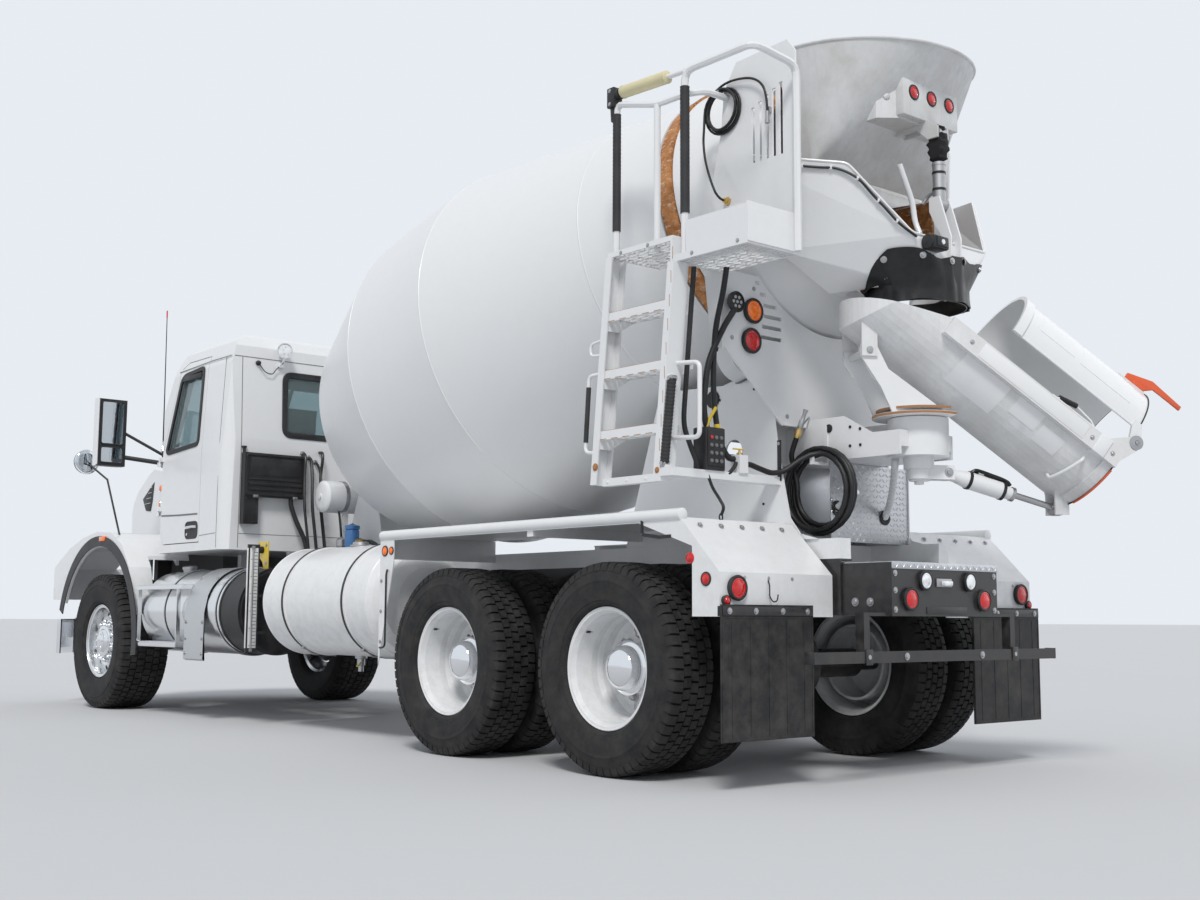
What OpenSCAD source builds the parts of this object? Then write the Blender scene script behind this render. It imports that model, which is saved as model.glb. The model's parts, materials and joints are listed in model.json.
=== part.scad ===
/* [Chassis] */
// Distance from the rearmost axle forward to the steering axle
wheelbase = 6470; // [6200:10:6800]
// Distance between the two driven axles
tandem_gap = 1372; // [1300:4:1440]
// Outer width over the two frame rails
frame_w = 864; // [840:4:900]
// Height of a frame rail
rail_h = 270; // [240:5:300]
// Height of the top of the frame rails above the ground
frame_top = 1060; // [1040:5:1080]
// Front face of the bumper ahead of the rearmost axle
bumper_x = 7620; // [7560:5:7700]
// Width over the bumper
bumper_w = 2380; // [2200:10:2440]

/* [Wheels] */
// Radius of the driven tyres, which is also the axle height
rear_tyre_r = 523; // [500:1:530]
// Width of one driven tyre
rear_tyre_w = 280; // [260:2:290]
// Distance between the middles of a pair of driven tyres
dual_gap = 340; // [330:2:350]
// Distance from the middle of the truck to the middle of a driven pair
dual_y = 915; // [905:1:925]
// Radius of the steered tyres, which is also the axle height
front_tyre_r = 553; // [535:1:560]
// Width of a steered tyre
front_tyre_w = 420; // [400:2:430]
// Distance from the middle of the truck to the middle of a steered tyre
front_tyre_y = 1015; // [1005:1:1025]
// Radius of the rims over their flanges
rim_r = 298; // [290:1:300]
// Radius of the wheel spindles
spindle_r = 45; // [40:1:50]
// Distance from the middle of the truck to a kingpin
kingpin_y = 850; // [840:1:860]
// Radius of a kingpin
kingpin_r = 28; // [22:1:32]

/* [Cab] */
// Width over the cab
cab_w = 2090; // [2000:5:2120]
// Rear wall of the cab ahead of the rearmost axle
cab_x = 4550; // [4500:5:4600]
// Height of the cab floor's underside above the ground
cab_z = 1260; // [1240:5:1280]
// Height of the roof above the ground
roof_z = 2935; // [2880:5:2980]
// Thickness of the cab walls and doors
wall = 50; // [35:1:60]
// Running gap around a door
door_gap = 7; // [6:0.5:10]
// Thickness of the window glass
glass_t = 6; // [5:0.5:8]
// Thickness of the hood's sheet
hood_t = 22; // [16:1:30]

/* [Mixer] */
// Rearward rise of the drum's axis in degrees
drum_tilt = 11.74; // [10:0.02:13]
// Wall thickness of the drum
drum_t = 12; // [8:1:16]
// Radius of the roller ring
ring_r = 814; // [800:1:830]
// Width of the roller ring
ring_w = 90; // [70:2:110]
// Radius of the two drum rollers
roller_r = 125; // [110:1:140]
// Running gap between the ring and its rollers
roller_gap = 0.4; // [0.3:0.1:1]
// Radius of the charge hopper's rim
hopper_r = 566; // [540:2:590]
// Sheet thickness of the hopper, collector and chutes
sheet = 8; // [6:1:10]

/* [Chute] */
// Swivel axis of the chute behind the rearmost axle
pivot_back = 1000; // [980:5:1020]
// Sideways turn of the parked chute from straight back in degrees
park_turn = 60; // [45:1:75]
// Downward slope of the parked chute in degrees
chute_slope = 36.2; // [34:0.2:38]
// Outer radius of the trough's round bottom
trough_r = 270; // [255:1:280]
// Depth of the trough from its upper edge to its bottom
trough_d = 290; // [284:1:320]
// Height of the square tubes along the main chute's upper edges
rim_box_h = 95; // [60:5:110]
// Length of the main chute's straight sides
chute_len = 1080; // [1040:5:1120]
// Length of the fold-over chute
fold_len = 800; // [700:5:830]

/* [Tanks] */
// Radius of the water tank
water_r = 360; // [330:2:370]
// Radius of the fuel tank
fuel_r = 315; // [290:1:330]

/* [Hidden] */
$fn = 48;

// Clearance left between curved faces on different bodies
slip = 0.3;
// Reach of the parked chute behind the rearmost axle
rear_reach = pivot_back + 780;
// The part's origin is on the ground below the middle of the whole truck
mid_x = (bumper_x - rear_reach) / 2;
rail_out = frame_w / 2;
rail_web = 10;
rail_flange = 88;
rail_low = frame_top - rail_h;
rail_rear = -850;
rail_front = 7340;
sub_h = 100;
sub_top = frame_top + sub_h;
axle_z = rear_tyre_r;
steer_z = front_tyre_r;
AXLES = [0, tandem_gap];
SIDES = [1, -1];

// Places the truck's own rear-axle frame in the part's frame
module at_frame() { translate([-mid_x, 0, 0]) children(); }
// Extrudes a side outline, drawn in forward and up, between two distances to the left
module side(y0, y1) {
    translate([0, y1, 0]) rotate([90, 0, 0]) linear_extrude(y1 - y0) children();
}
// Extrudes an outline, drawn in left and up, between two distances forward
module cross(x0, x1) {
    translate([x0, 0, 0]) rotate([90, 0, 90]) linear_extrude(x1 - x0) children();
}
module rod(a, b, r) {
    d = b - a;
    l = norm(d);
    translate(a) rotate([0, acos(d[2] / l), atan2(d[1], d[0])]) cylinder(r = r, h = l);
}
module box(a, b) { translate(a) cube(b - a); }
module along_y(y0, y1, r) { translate([0, y0, 0]) rotate([-90, 0, 0]) cylinder(r = r, h = y1 - y0); }
module along_x(x0, x1, z, r) { translate([x0, 0, z]) rotate([0, 90, 0]) cylinder(r = r, h = x1 - x0); }
module both() { children(); mirror([0, 1, 0]) children(); }
module round_square(x0, y0, x1, y1, r) {
    translate([x0 + r, y0]) square([x1 - x0 - 2 * r, y1 - y0]);
    translate([x0, y0 + r]) square([x1 - x0, y1 - y0 - 2 * r]);
    for (x = [x0 + r, x1 - r], y = [y0 + r, y1 - r]) translate([x, y]) circle(r);
}

// Rounds the inner corners of a route, then sweeps a tube along it
function unit(v) = v / norm(v);
function bend_at(a, p, b, r, n) = let (s = p + unit(a - p) * r, e = p + unit(b - p) * r)
    [for (k = [0:n]) let (t = k / n) (1 - t) * (1 - t) * s + 2 * t * (1 - t) * p + t * t * e];
function route(pts, r, n = 4) = [pts[0],
    for (i = [1:len(pts) - 2]) each bend_at(pts[i - 1], pts[i], pts[i + 1], r, n),
    pts[len(pts) - 1]];
function heading(p, i) = unit(p[min(i + 1, len(p) - 1)] - p[max(i - 1, 0)]);
function frames(p, i = 0, n = [0, 0, 1]) = i >= len(p) ? [] :
    let (t = heading(p, i),
        m = norm(n - t * (n * t)) < 0.01 ? [1, 0, 0] : n,
        u = unit(m - t * (m * t)))
    concat([[u, cross(t, u)]], frames(p, i + 1, u));
module tube(p, r, sides = 8) {
    f = frames(p);
    n = len(p);
    pts = [for (i = [0:n - 1], j = [0:sides - 1])
        p[i] + r * (f[i][0] * cos(360 * j / sides) + f[i][1] * sin(360 * j / sides))];
    faces = concat([[for (j = [0:sides - 1]) sides - 1 - j]],
        [for (i = [0:n - 2], j = [0:sides - 1]) let (k = (j + 1) % sides)
            each [[i * sides + j, i * sides + k, (i + 1) * sides + k],
                [i * sides + j, (i + 1) * sides + k, (i + 1) * sides + j]]],
        [[for (j = [0:sides - 1]) (n - 1) * sides + j]]);
    polyhedron(pts, [for (f1 = faces) [for (k = [len(f1) - 1:-1:0]) f1[k]]]);
}

// Chassis
module chassis_frame() color("dimgray") {
    both() difference() {
        box([rail_rear, rail_out - rail_flange, rail_low], [rail_front, rail_out, frame_top]);
        box([rail_rear - 1, rail_out - rail_flange - 1, rail_low + rail_web],
            [rail_front + 1, rail_out - rail_web, frame_top - rail_web]);
    }
    for (x = [rail_rear, 340, 1040, 2300, 4000, 4880, rail_front - 60])
        box([x, -rail_out + rail_web, frame_top - 130], [x + 60, rail_out - rail_web, frame_top - 30]);
    // Tow hooks on the front crossmember
    both() difference() {
        box([rail_front, 330, rail_low - 80], [bumper_x - 90, 360, rail_low + 40]);
        translate([bumper_x - 120, 0, rail_low - 35]) along_y(320, 370, tow_r);
    }
}
tow_r = 22;

module mixer_subframe() color("whitesmoke") {
    both() box([rail_rear, rail_out - 80, frame_top], [4150, rail_out, sub_top]);
    for (x = [-400, 900, 2200, 3580, 4060]) box([x, -rail_out + 80, frame_top + 10], [x + 80,
        rail_out - 80, sub_top]);
    // Front pedestal under the drum's drive
    both() side(250, 262) polygon([[3560, sub_top], [4140, sub_top], [3851, 1870], [3714, 1898]]);
    for (x = [3704, 3850]) box([x, -251, sub_top], [x + 12, 251, 1780]);
    on_drum() translate([-270, -262, -1330]) cube([20, 524, 140]);
    // Air tank behind the cab
    translate([4130, 0, 1660]) along_y(-350, 450, 120);
    for (y = [-200, 260]) box([4080, y, sub_top - 5], [4110, y + 40, 1570]);
}

// The drum's axis, from the middle seam at s = 0 towards the mouth
drum_mid = [2603, 0, 2400];
function on_axis(s) = drum_mid + s * [-cos(drum_tilt), 0, sin(drum_tilt)];
// Outline of the drum: distance along the axis, radius

HEAD = [[-1150, 120], [-1138, 300], [-1105, 470], [-1050, 630], [-975, 770], [-890, 866]];
SHELL = [[0, 1154], [868, 1174], [2090, 923], [2630, 818]];
ring_s = 2686;
mouth_s = 3300;
mouth_r = 650;
TAIL = [[2742, 800], [mouth_s, mouth_r]];
module on_drum() { translate(drum_mid) rotate([0, -90 + drum_tilt, 0]) children(); }
module drum() color("white") on_drum() {
    outline = concat(HEAD, SHELL, [[2630, ring_r - 30], [2742, ring_r - 30]], TAIL);
    inner = [for (i = [len(outline) - 1:-1:0]) outline[i] - [i < 2 ? -drum_t : 0, drum_t * 1.05]];
    rotate_extrude($fn = 96) polygon(concat([[0, -1150]],
        [for (p = outline) [p[1], p[0]]],
        [for (p = inner) [max(p[1], 0), p[0]]], [[0, -1150 + drum_t]]));
    // Rolled edge of the mouth
    translate([0, 0, mouth_s - 26]) rotate_extrude($fn = 96)
        polygon([[mouth_r - 2, 0], [mouth_r + 14, 0], [mouth_r + 14, 20], [mouth_r - 8, 20]]);
}
module drum_ring() color("chocolate") on_drum()
    translate([0, 0, ring_s - ring_w / 2]) rotate_extrude($fn = 96)
        polygon([[ring_r - 30, 0], [ring_r, 0], [ring_r, ring_w], [ring_r - 30, ring_w]]);
module drum_drive() color("gainsboro") {
    on_drum() {
        translate([0, 0, -1190]) cylinder(r = 118, h = 40);
        translate([-250, -140, -1320]) cube([80, 280, 120]);
        translate([0, 0, -1330]) cylinder(r = 200, h = 140);
        translate([0, 0, -1450]) cylinder(r = 130, h = 120);
        translate([0, 0, -1640]) cylinder(r = 85, h = 190);
    }
}

roller_a = 28;
function roller_at(side) = on_axis(ring_s)
    + (ring_r + roller_r + roller_gap)
    * [-cos(roller_a) * sin(drum_tilt), side * sin(roller_a), -cos(roller_a) * cos(drum_tilt)];
arm_y = 200;
arm_low = 1570;
arm_top = 1760;
ped_y = 430;
ped_x = -300;
cradle_x = -452;
arm_in = ped_x - 12;
module rear_pedestal() color("white") {
    // Side plates
    both() side(ped_y, ped_y + 12) difference() {
        polygon([[-720, sub_top], [700, sub_top], [420, 2000], [300, 2010], [-60, 1995], [cradle_x + 12,
            1985],
            [cradle_x + 12, 1750], [-450, 1680], [-495, 1450], [-535, 1270], [-600, 1190]]);
        translate([-150, 1640]) circle(60);
    }
    // Rear plate and cross plate
    box([ped_x - 12, -ped_y, sub_top], [ped_x, ped_y, 1990]);
    box([330, -ped_y, sub_top], [342, ped_y, 1700]);
    // Roller seats
    both() difference() {
        side(300, ped_y + 1) polygon([[-320, 1700], [-70, 1700], [-70, 2000], [-320, 2050]]);
        translate(roller_at(1)) rotate([0, drum_tilt, 0]) box([-70, -roller_r - 60, -roller_r - 10], [70,
            roller_r + 60, 400]);
    }
    // Drum rollers on their shafts
    both() translate(roller_at(1)) rotate([0, -90 + drum_tilt, 0]) {
        cylinder(r = roller_r, h = 100, center = true);
        cylinder(r = 30, h = 220, center = true);
    }
}
// Slots of the cradle plate: up, from and to the left
SLOTS = [[2180, 390, 550], [2235, 390, 540], [2290, 390, 530], [2345, 430, 530], [2400, 512, 555], [2455,
    560, 590]];
module drum_cradle() color("white") {
    // Plate below the drum's tail
    difference() {
        cross(cradle_x, cradle_x + 12) polygon([[832, floor_z], [832, 2120], [600, 1930], [400, 1750],
            [-400, 1750],
            [-600, 1930], [-832, 2120], [-832, floor_z]]);
        on_drum() cylinder(r = mouth_r + 115, h = 4000, $fn = 96);
        both() for (q = SLOTS) box([cradle_x - 8, q[1], q[0]], [cradle_x + 20, q[2], q[0] + 20]);
    }
    // Vented plate at the left of the mouth and a narrower one at its right
    side(820, 832) difference() {
        polygon([[-950, floor_z], [cradle_x, floor_z], [cradle_x, 2100], [-380, 2100], [-330, 2500],
            [-370, 2860],
            [-455, 3200], [-475, 3400], [-560, 3530], [-900, 3545], [-950, 3480]]);
        for (k = [0:4]) translate([-870 + 46 * k, 2985]) square([24, 360 - 20 * k]);
    }
    side(-832, -820) polygon([[cradle_x, 2100], [-380, 2100], [-330, 2500], [-370, 2860], [-455, 3200],
        [-475, 3400],
        [-560, 3530], [-612, 3530], [-640, 3400], [-610, 2900], [-520, 2480]]);
    // Bar on which the hopper tilts
    translate([hopper_hinge[0], 0, hopper_hinge[2]]) along_y(-821, 821, hopper_bar_r);
}
module swivel_arm() color("white") {
    both() side(arm_y, arm_y + 14) polygon([[-1050, arm_low], [arm_in, arm_low], [arm_in, 1750],
        [cradle_x, 1750],
        [cradle_x, 1790], [-700, 1790], [-880, 1690], [-1050, 1690]]);
    box([-900, -arm_y - 1, arm_low], [arm_in, arm_y + 1, arm_low + 12]);
    translate([-pivot_back, 0, arm_low]) difference() {
        cylinder(r = 150, h = arm_top - arm_low);
        translate([0, 0, -1]) cylinder(r = post_r + slip, h = 400);
    }
    both() box([-1050, 120, arm_low + 40], [-960, arm_y + 1, arm_top - 70]);
    // Hook of the hose
    box([coil_at[0] - 12, arm_y + 13, coil_at[2] + coil_r - 60], [coil_at[0] + 12, arm_y + 22,
        arm_top - 10]);
    box([coil_at[0] - 12, arm_y + 13, coil_at[2] + coil_r - 60],
        [coil_at[0] + 12, coil_at[1] + 60, coil_at[2] + coil_r - coil_t - 1]);
    box([coil_at[0] - 12, coil_at[1] + 50, coil_at[2] + coil_r - 60], [coil_at[0] + 12, coil_at[1] + 60,
        coil_at[2] + coil_r]);
}
post_r = 75;

// Driven and steered wheels, drawn for the left side about their own axle
module turned() { rotate([-90, 0, 0]) rotate_extrude($fn = 72) children(); }
seat_r = rim_r - 8;
module tyre_outline(r, w) {
    polygon([[seat_r + slip, -w * 0.3], [rim_r + 5, -w * 0.315], [rim_r + 14, -w * 0.42],
        [(rim_r + r) / 2, -w / 2], [r - 34, -w * 0.47],
        [r - 8, -w * 0.42], [r, -w * 0.34], [r, -w * 0.22], [r - 14, -w * 0.21], [r - 14, -w * 0.17], [r,
            -w * 0.16],
        [r, -w * 0.03], [r - 14, -w * 0.02], [r - 14, w * 0.02], [r, w * 0.03],
        [r, w * 0.16], [r - 14, w * 0.17], [r - 14, w * 0.21], [r, w * 0.22], [r, w * 0.34],
        [r - 8, w * 0.42], [r - 34, w * 0.47], [(rim_r + r) / 2, w / 2], [rim_r + 14, w * 0.42],
            [rim_r + 5, w * 0.315],
        [seat_r + slip, w * 0.3]]);
}
module rear_tyres() color("#222222")
    for (k = [-0.5, 0.5]) translate([0, dual_y + k * dual_gap, 0]) turned() tyre_outline(rear_tyre_r,
        rear_tyre_w);
hub_r = 125;
module rear_rims() color("white") difference() {
    union() {
        for (k = SIDES) translate([0, dual_y, 0]) scale_y(k) turned() polygon([[hub_r, 0], [232, 0],
            [262, 28],
            [264, 66], [rim_r + 2, 66], [rim_r + 2, 74], [seat_r, 80], [seat_r, 96], [274, 112], [272,
                150], [274, 228], [seat_r, 240], [seat_r, 256],
            [rim_r + 2, 262], [rim_r + 2, 270], [284, 268], [270, 240], [260, 150], [262, 110], [252,
                80], [248, 36],
            [226, 12], [hub_r, 12]]);
        // Hub, its cap and the brake drum
        along_y(dual_y - 60, dual_y + 130, hub_r + 1);
        along_y(dual_y + 130, dual_y + 170, 105);
        translate([0, dual_y, 0]) turned() polygon([[hub_r - 10, -14], [215, -14], [215, -230], [200, -230],
            [200, -40], [hub_r - 10, -40]]);
    }
    along_y(dual_y - 100, dual_y + 80, spindle_r + slip);
    for (a = [18:36:342]) rotate([0, a, 0]) translate([0, 0, 205]) along_y(dual_y - 1, dual_y + 12, 26);
}
module scale_y(k) { if (k > 0) children(); else mirror([0, 1, 0]) children(); }
module front_tyre() color("#222222")
    translate([0, front_tyre_y, 0]) turned() tyre_outline(front_tyre_r, front_tyre_w);
module front_rim() color("silver") difference() {
    union() {
        translate([0, front_tyre_y, 0]) turned() polygon([[hub_r, 70], [200, 92], [240, 80], [rim_r - 34,
            60],
            [rim_r - 24, -150], [rim_r + 2, -160], [rim_r + 2, -152], [seat_r, -146], [seat_r, -116],
                [rim_r - 14, -100],
            [rim_r - 14, 100], [seat_r, 116], [seat_r, 148],
            [rim_r + 2, 156], [rim_r + 2, 166], [rim_r - 24, 158], [rim_r - 34, 76], [240, 100], [200, 112],
            [hub_r, 90]]);
        along_y(front_tyre_y - 20, front_tyre_y + 140, hub_r + 1);
        along_y(front_tyre_y + 140, front_tyre_y + 170, 80);
        translate([0, front_tyre_y, 0]) turned() polygon([[hub_r - 10, 40], [212, 40], [212, -70], [198,
            -70],
            [198, 20], [hub_r - 10, 20]]);
    }
    along_y(front_tyre_y - 60, front_tyre_y + 110, spindle_r + slip);
    for (a = [0:36:324]) rotate([0, a, 0]) translate([0, 0, 225]) along_y(front_tyre_y + 60,
        front_tyre_y + 130, 22);
}
module at_axle(x, z, side) { translate([x, 0, z]) scale_y(side) children(); }

module front_axle() color("#303030") {
    translate([wheelbase, 0, steer_z]) {
        // Dropped beam with its kingpin eyes
        cross(-45, 45) polygon([[-kingpin_y + 40, -50], [-700, -60], [-420, -100], [420, -100], [700, -60],
            [kingpin_y - 40, -50], [kingpin_y - 40, 40], [700, 30], [420, -20], [-420, -20], [-700, 30],
            [-kingpin_y + 40, 40]]);
        both() translate([0, kingpin_y, -50]) cylinder(r = 52, h = 90);
        both() translate([0, kingpin_y, -150]) cylinder(r = kingpin_r, h = 290);
    }
    // Leaf springs and their hangers
    both() {
        for (k = [0:3]) side(345, 425) polygon([
            [wheelbase - 780 + 150 * k, steer_z + 90 - 22 * k], [wheelbase - 90, steer_z + 30 - 16 * k],
            [wheelbase + 90, steer_z + 30 - 16 * k], [wheelbase + 780 - 150 * k, steer_z + 90 - 22 * k],
            [wheelbase + 780 - 150 * k, steer_z + 104 - 22 * k], [wheelbase + 90, steer_z + 44 - 16 * k],
            [wheelbase - 90, steer_z + 44 - 16 * k], [wheelbase - 780 + 150 * k, steer_z + 104 - 22 * k]]);
        for (x = [-760, 700]) box([wheelbase + x, 350, steer_z + 92], [wheelbase + x + 60, 420, rail_low]);
        box([wheelbase - 60, 345, steer_z - 20], [wheelbase + 60, 425, steer_z + 60]);
    }
}
module knuckle() color("#3a3a3a") difference() {
    union() {
        translate([0, kingpin_y, 48]) cylinder(r = 52, h = 80);
        translate([0, kingpin_y, -138]) cylinder(r = 52, h = 80);
        box([-50, kingpin_y + 48 + 8, -138], [50, kingpin_y + 84, 128]);
        box([-50, kingpin_y, 48], [50, kingpin_y + 60, 128]);
        box([-50, kingpin_y, -138], [50, kingpin_y + 60, -58]);
        along_y(kingpin_y + 80, front_tyre_y + 100, spindle_r);
    }
    translate([0, kingpin_y, -200]) cylinder(r = kingpin_r + slip, h = 400);
}

module rear_axles() color("#303030") {
    for (x = AXLES) translate([x, 0, axle_z]) {
        along_y(-dual_y - 70, dual_y + 70, spindle_r);
        along_y(-dual_y + 250, dual_y - 250, 80);
        along_y(-170, 170, 200);
        sphere(215);
    }
    // Walking beams and their saddles
    both() {
        side(470, 560) polygon([[-70, axle_z - 40], [tandem_gap / 2, axle_z - 120], [tandem_gap + 70,
            axle_z - 40],
            [tandem_gap + 70, axle_z + 40], [tandem_gap / 2, axle_z + 40], [-70, axle_z + 40]]);
        side(rail_out, 560) polygon([[tandem_gap / 2 - 90, axle_z], [tandem_gap / 2 + 90, axle_z],
            [tandem_gap / 2 + 180, frame_top - 20], [tandem_gap / 2 - 180, frame_top - 20]]);
    }
    // Drive shafts back from the gearbox
    along_x(4950, 5000, 850, 60);
    rod([4960, 0, 850], [3200, 0, 760], 55);
    rod([3200, 0, 760], [tandem_gap, 0, axle_z + 60], 55);
    rod([tandem_gap, 0, axle_z], [0, 0, axle_z], 50);
    box([3150, -rail_out + rail_flange, 740], [3250, rail_out - rail_flange, 850]);
}
module engine_block() color("dimgray") {
    box([6020, -330, 850], [7050, 330, 1700]);
    box([7150, -420, frame_top + 5], [7230, 420, 1640]);
    box([7050, -200, 1000], [7150, 200, 1300]);
    // Gearbox housing behind it
    box([5500, -210, 820], [6020, 210, 1180]);
    along_x(5000, 5501, 880, 150);
    both() box([6300, 320, 900], [6420, rail_out - rail_web, 960]);
}

// Cab
cab_y = cab_w / 2;
cowl_x = 5950;
module cab_outline() {
    polygon([[cab_x, cab_z], [cab_x - 10, 2100], [cab_x + 20, roof_z - 120], [cab_x + 60, roof_z - 45],
        [cab_x + 140, roof_z - 12], [cab_x + 300, roof_z], [cab_x + 620, roof_z], [5400, roof_z - 60],
        [5520, roof_z - 150], [5560, roof_z - 200], [5880, 2110], [cowl_x, 2060], [cowl_x, 1500],
        [5760, cab_z]]);
}
module cab_plan(inset) {
    difference() {
        round_square(cab_x - 20 + inset, -cab_y + inset, cowl_x + 400, cab_y - inset, 120 - inset);
        for (k = SIDES) scale_2d(k) polygon([[5680, cab_y + 1], [cowl_x + 500, cab_y + 1],
            [cowl_x + 500, 700 - inset], [cowl_x + 20, 900 - inset], [5680, cab_y - inset]]);
    }
}
module scale_2d(k) { if (k > 0) children(); else mirror([0, 1]) children(); }
module cab_front(inset) {
    polygon([[-cab_y + inset, cab_z - 10], [cab_y - inset, cab_z - 10], [cab_y - inset, 2000],
        [cab_y - 35 - inset, roof_z - 250], [cab_y - 75 - inset, roof_z - 90], [cab_y - 170,
            roof_z - 20 - inset * 0.7],
        [cab_y - 320, roof_z + 5 - inset * 0.7], [-cab_y + 320, roof_z + 5 - inset * 0.7],
        [-cab_y + 170, roof_z - 20 - inset * 0.7], [-cab_y + 75 + inset, roof_z - 90],
        [-cab_y + 35 + inset, roof_z - 250], [-cab_y + inset, 2000]]);
}
module cab_solid(inset) intersection() {
    side(-cab_y, cab_y) if (inset == 0) cab_outline(); else cab_inner();
    translate([0, 0, cab_z - 20]) linear_extrude(1800) cab_plan(inset);
    cross(cab_x - 100, cowl_x + 100) cab_front(inset);
}
module cab_inner() {
    polygon([[cab_x + wall, cab_z + wall], [cab_x - 10 + wall, 2100], [cab_x + 20 + wall, roof_z - 130],
        [cab_x + 110, roof_z - 90], [cab_x + 180, roof_z - wall - 10], [cab_x + 620, roof_z - wall],
        [5370, roof_z - wall - 60], [5460, roof_z - 190], [5500, roof_z - 250], [5820, 2090],
        [cowl_x - wall, 2010], [cowl_x - wall, 1530], [5740, cab_z + wall]]);
}
// Door and window outlines in forward and up
DOOR = [[4970, 1330], [5610, 1330], [5690, 1520], [5700, 2010], [5460, 2730], [5360, 2770], [4970, 2770]];
SIDE_WINDOW = [[5040, 2120], [5060, 2090], [5580, 2060], [5610, 2080], [5440, 2630], [5380, 2670],
    [5060, 2690], [5040, 2670]];
module grown(pts, g) {
    c = [for (i = [0:1]) (max([for (p = pts) p[i]]) + min([for (p = pts) p[i]])) / 2];
    h = [for (i = [0:1]) (max([for (p = pts) p[i]]) - min([for (p = pts) p[i]])) / 2];
    polygon([for (p = pts) [for (i = [0:1]) c[i] + (p[i] - c[i]) * (h[i] + g) / h[i]]]);
}
module cab_shell() color("white") {
    difference() {
        cab_solid(0);
        cab_solid(wall);
        both() side(cab_y - 260, cab_y + 50) grown(DOOR, door_gap);
        // Rear window and windscreen
        cross(cab_x - 100, cab_x + 200) round_square(-570, 2150, 570, 2630, 60);
        translate([5720, 0, 2400]) rotate([0, 22, 0]) cross(-300, 300) {
            round_square(-870, -230, -15, 250, 60);
            round_square(15, -230, 870, 250, 60);
        }
    }
    // Mounts under the floor
    both() box([cab_x + 60, 300, frame_top], [cab_x + 180, 420, cab_z + 10]);
    both() box([5500, 340, frame_top], [5560, 420, cab_z + 10]);
    // Cab halves of the door hinges
    both() for (z = HINGES_Z) {
        box([door_axis[0] + 8, 1000, z], [door_axis[0] + 34, door_axis[1] + 8, z + 36]);
        translate([door_axis[0], door_axis[1], z]) cylinder(r = 11, h = 36);
        translate([door_axis[0], door_axis[1], z]) cylinder(r = 6, h = 76);
    }
}
// Upright axis of the left door's hinges
door_axis = [5706, 1058];
HINGES_Z = [1560, 1960];
module door() color("white") {
    difference() {
        intersection() {
            difference() { cab_solid(0); cab_solid(wall); }
            side(cab_y - 260, cab_y + 10) polygon(DOOR);
        }
        side(cab_y - 300, cab_y + 50) polygon(SIDE_WINDOW);
    }
    for (z = HINGES_Z) translate([door_axis[0], door_axis[1], z + 38]) difference() {
        union() {
            cylinder(r = 11, h = 34);
            box([-50, -33, 0], [-10, 8, 34]);
        }
        translate([0, 0, -1]) cylinder(r = 6 + slip, h = 40);
    }
}
module door_glass() color("lightblue", 0.5) intersection() {
    translate([0, -20, 0]) difference() { cab_solid(0); translate([0, -glass_t, 0]) cab_solid(0); }
    side(cab_y - 200, cab_y + 10) grown(SIDE_WINDOW, -slip);
}
module cab_glass() color("lightblue", 0.5) {
    cross(cab_x + 15, cab_x + 15 + glass_t) round_square(-570 + slip, 2150 + slip, 570 - slip,
        2630 - slip, 60);
    intersection() {
        translate([-20, 0, 0]) difference() {
            cab_solid(0);
            translate([-glass_t, 0, 0]) cab_solid(0);
        }
        translate([5720, 0, 2400]) rotate([0, 22, 0]) cross(-300, 300) {
            round_square(-870 + slip, -230 + slip, -15 - slip, 250 - slip, 60);
            round_square(15 + slip, -230 + slip, 870 - slip, 250 - slip, 60);
        }
    }
}
module cab_interior() color("#3c3c40") {
    // Two seats, dash and steering wheel
    for (k = SIDES) translate([0, k * 480, 0]) {
        box([4720, -170, cab_z + wall], [5120, 170, cab_z + wall + 230]);
        box([4680, -250, cab_z + wall + 230], [5200, 250, cab_z + wall + 370]);
        side(-240, 240) polygon([[4700, 1660], [4820, 1660], [4740, 2380], [4640, 2380]]);
    }
    side(-860, 860) polygon([[5600, 1700], [5700, 2010], [5800, 2030], [5900, 1900], [5900, 1540], [5760,
        1540]]);
    translate([5490, 480, 2010]) rotate([0, -55, 0]) {
        rotate_extrude($fn = 36) translate([210, 0]) circle(16);
        cylinder(r = 60, h = 20, center = true);
        rotate([90, 0, 0]) cylinder(r = 12, h = 420, center = true);
    }
    rod([5490, 480, 2010], [5700, 480, 1860], 25);
    box([5100, -160, cab_z + wall], [5300, 160, cab_z + wall + 160]);
}
module mirrors() color("#26282b") both() {
    box([5900, 1270, 1960], [5975, 1500, 2500]);
    translate([0, 0, 1965]) linear_extrude(130) polygon([[5750, 1010.3], [5830, 970.3], [5830, 992],
        [5750, 1026]]);
    rod([5792, 1003, 2000], [5930, 1280, 2040], 18);
    rod([5792, 1003, 2070], [5930, 1280, 2240], 12);
}

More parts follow.
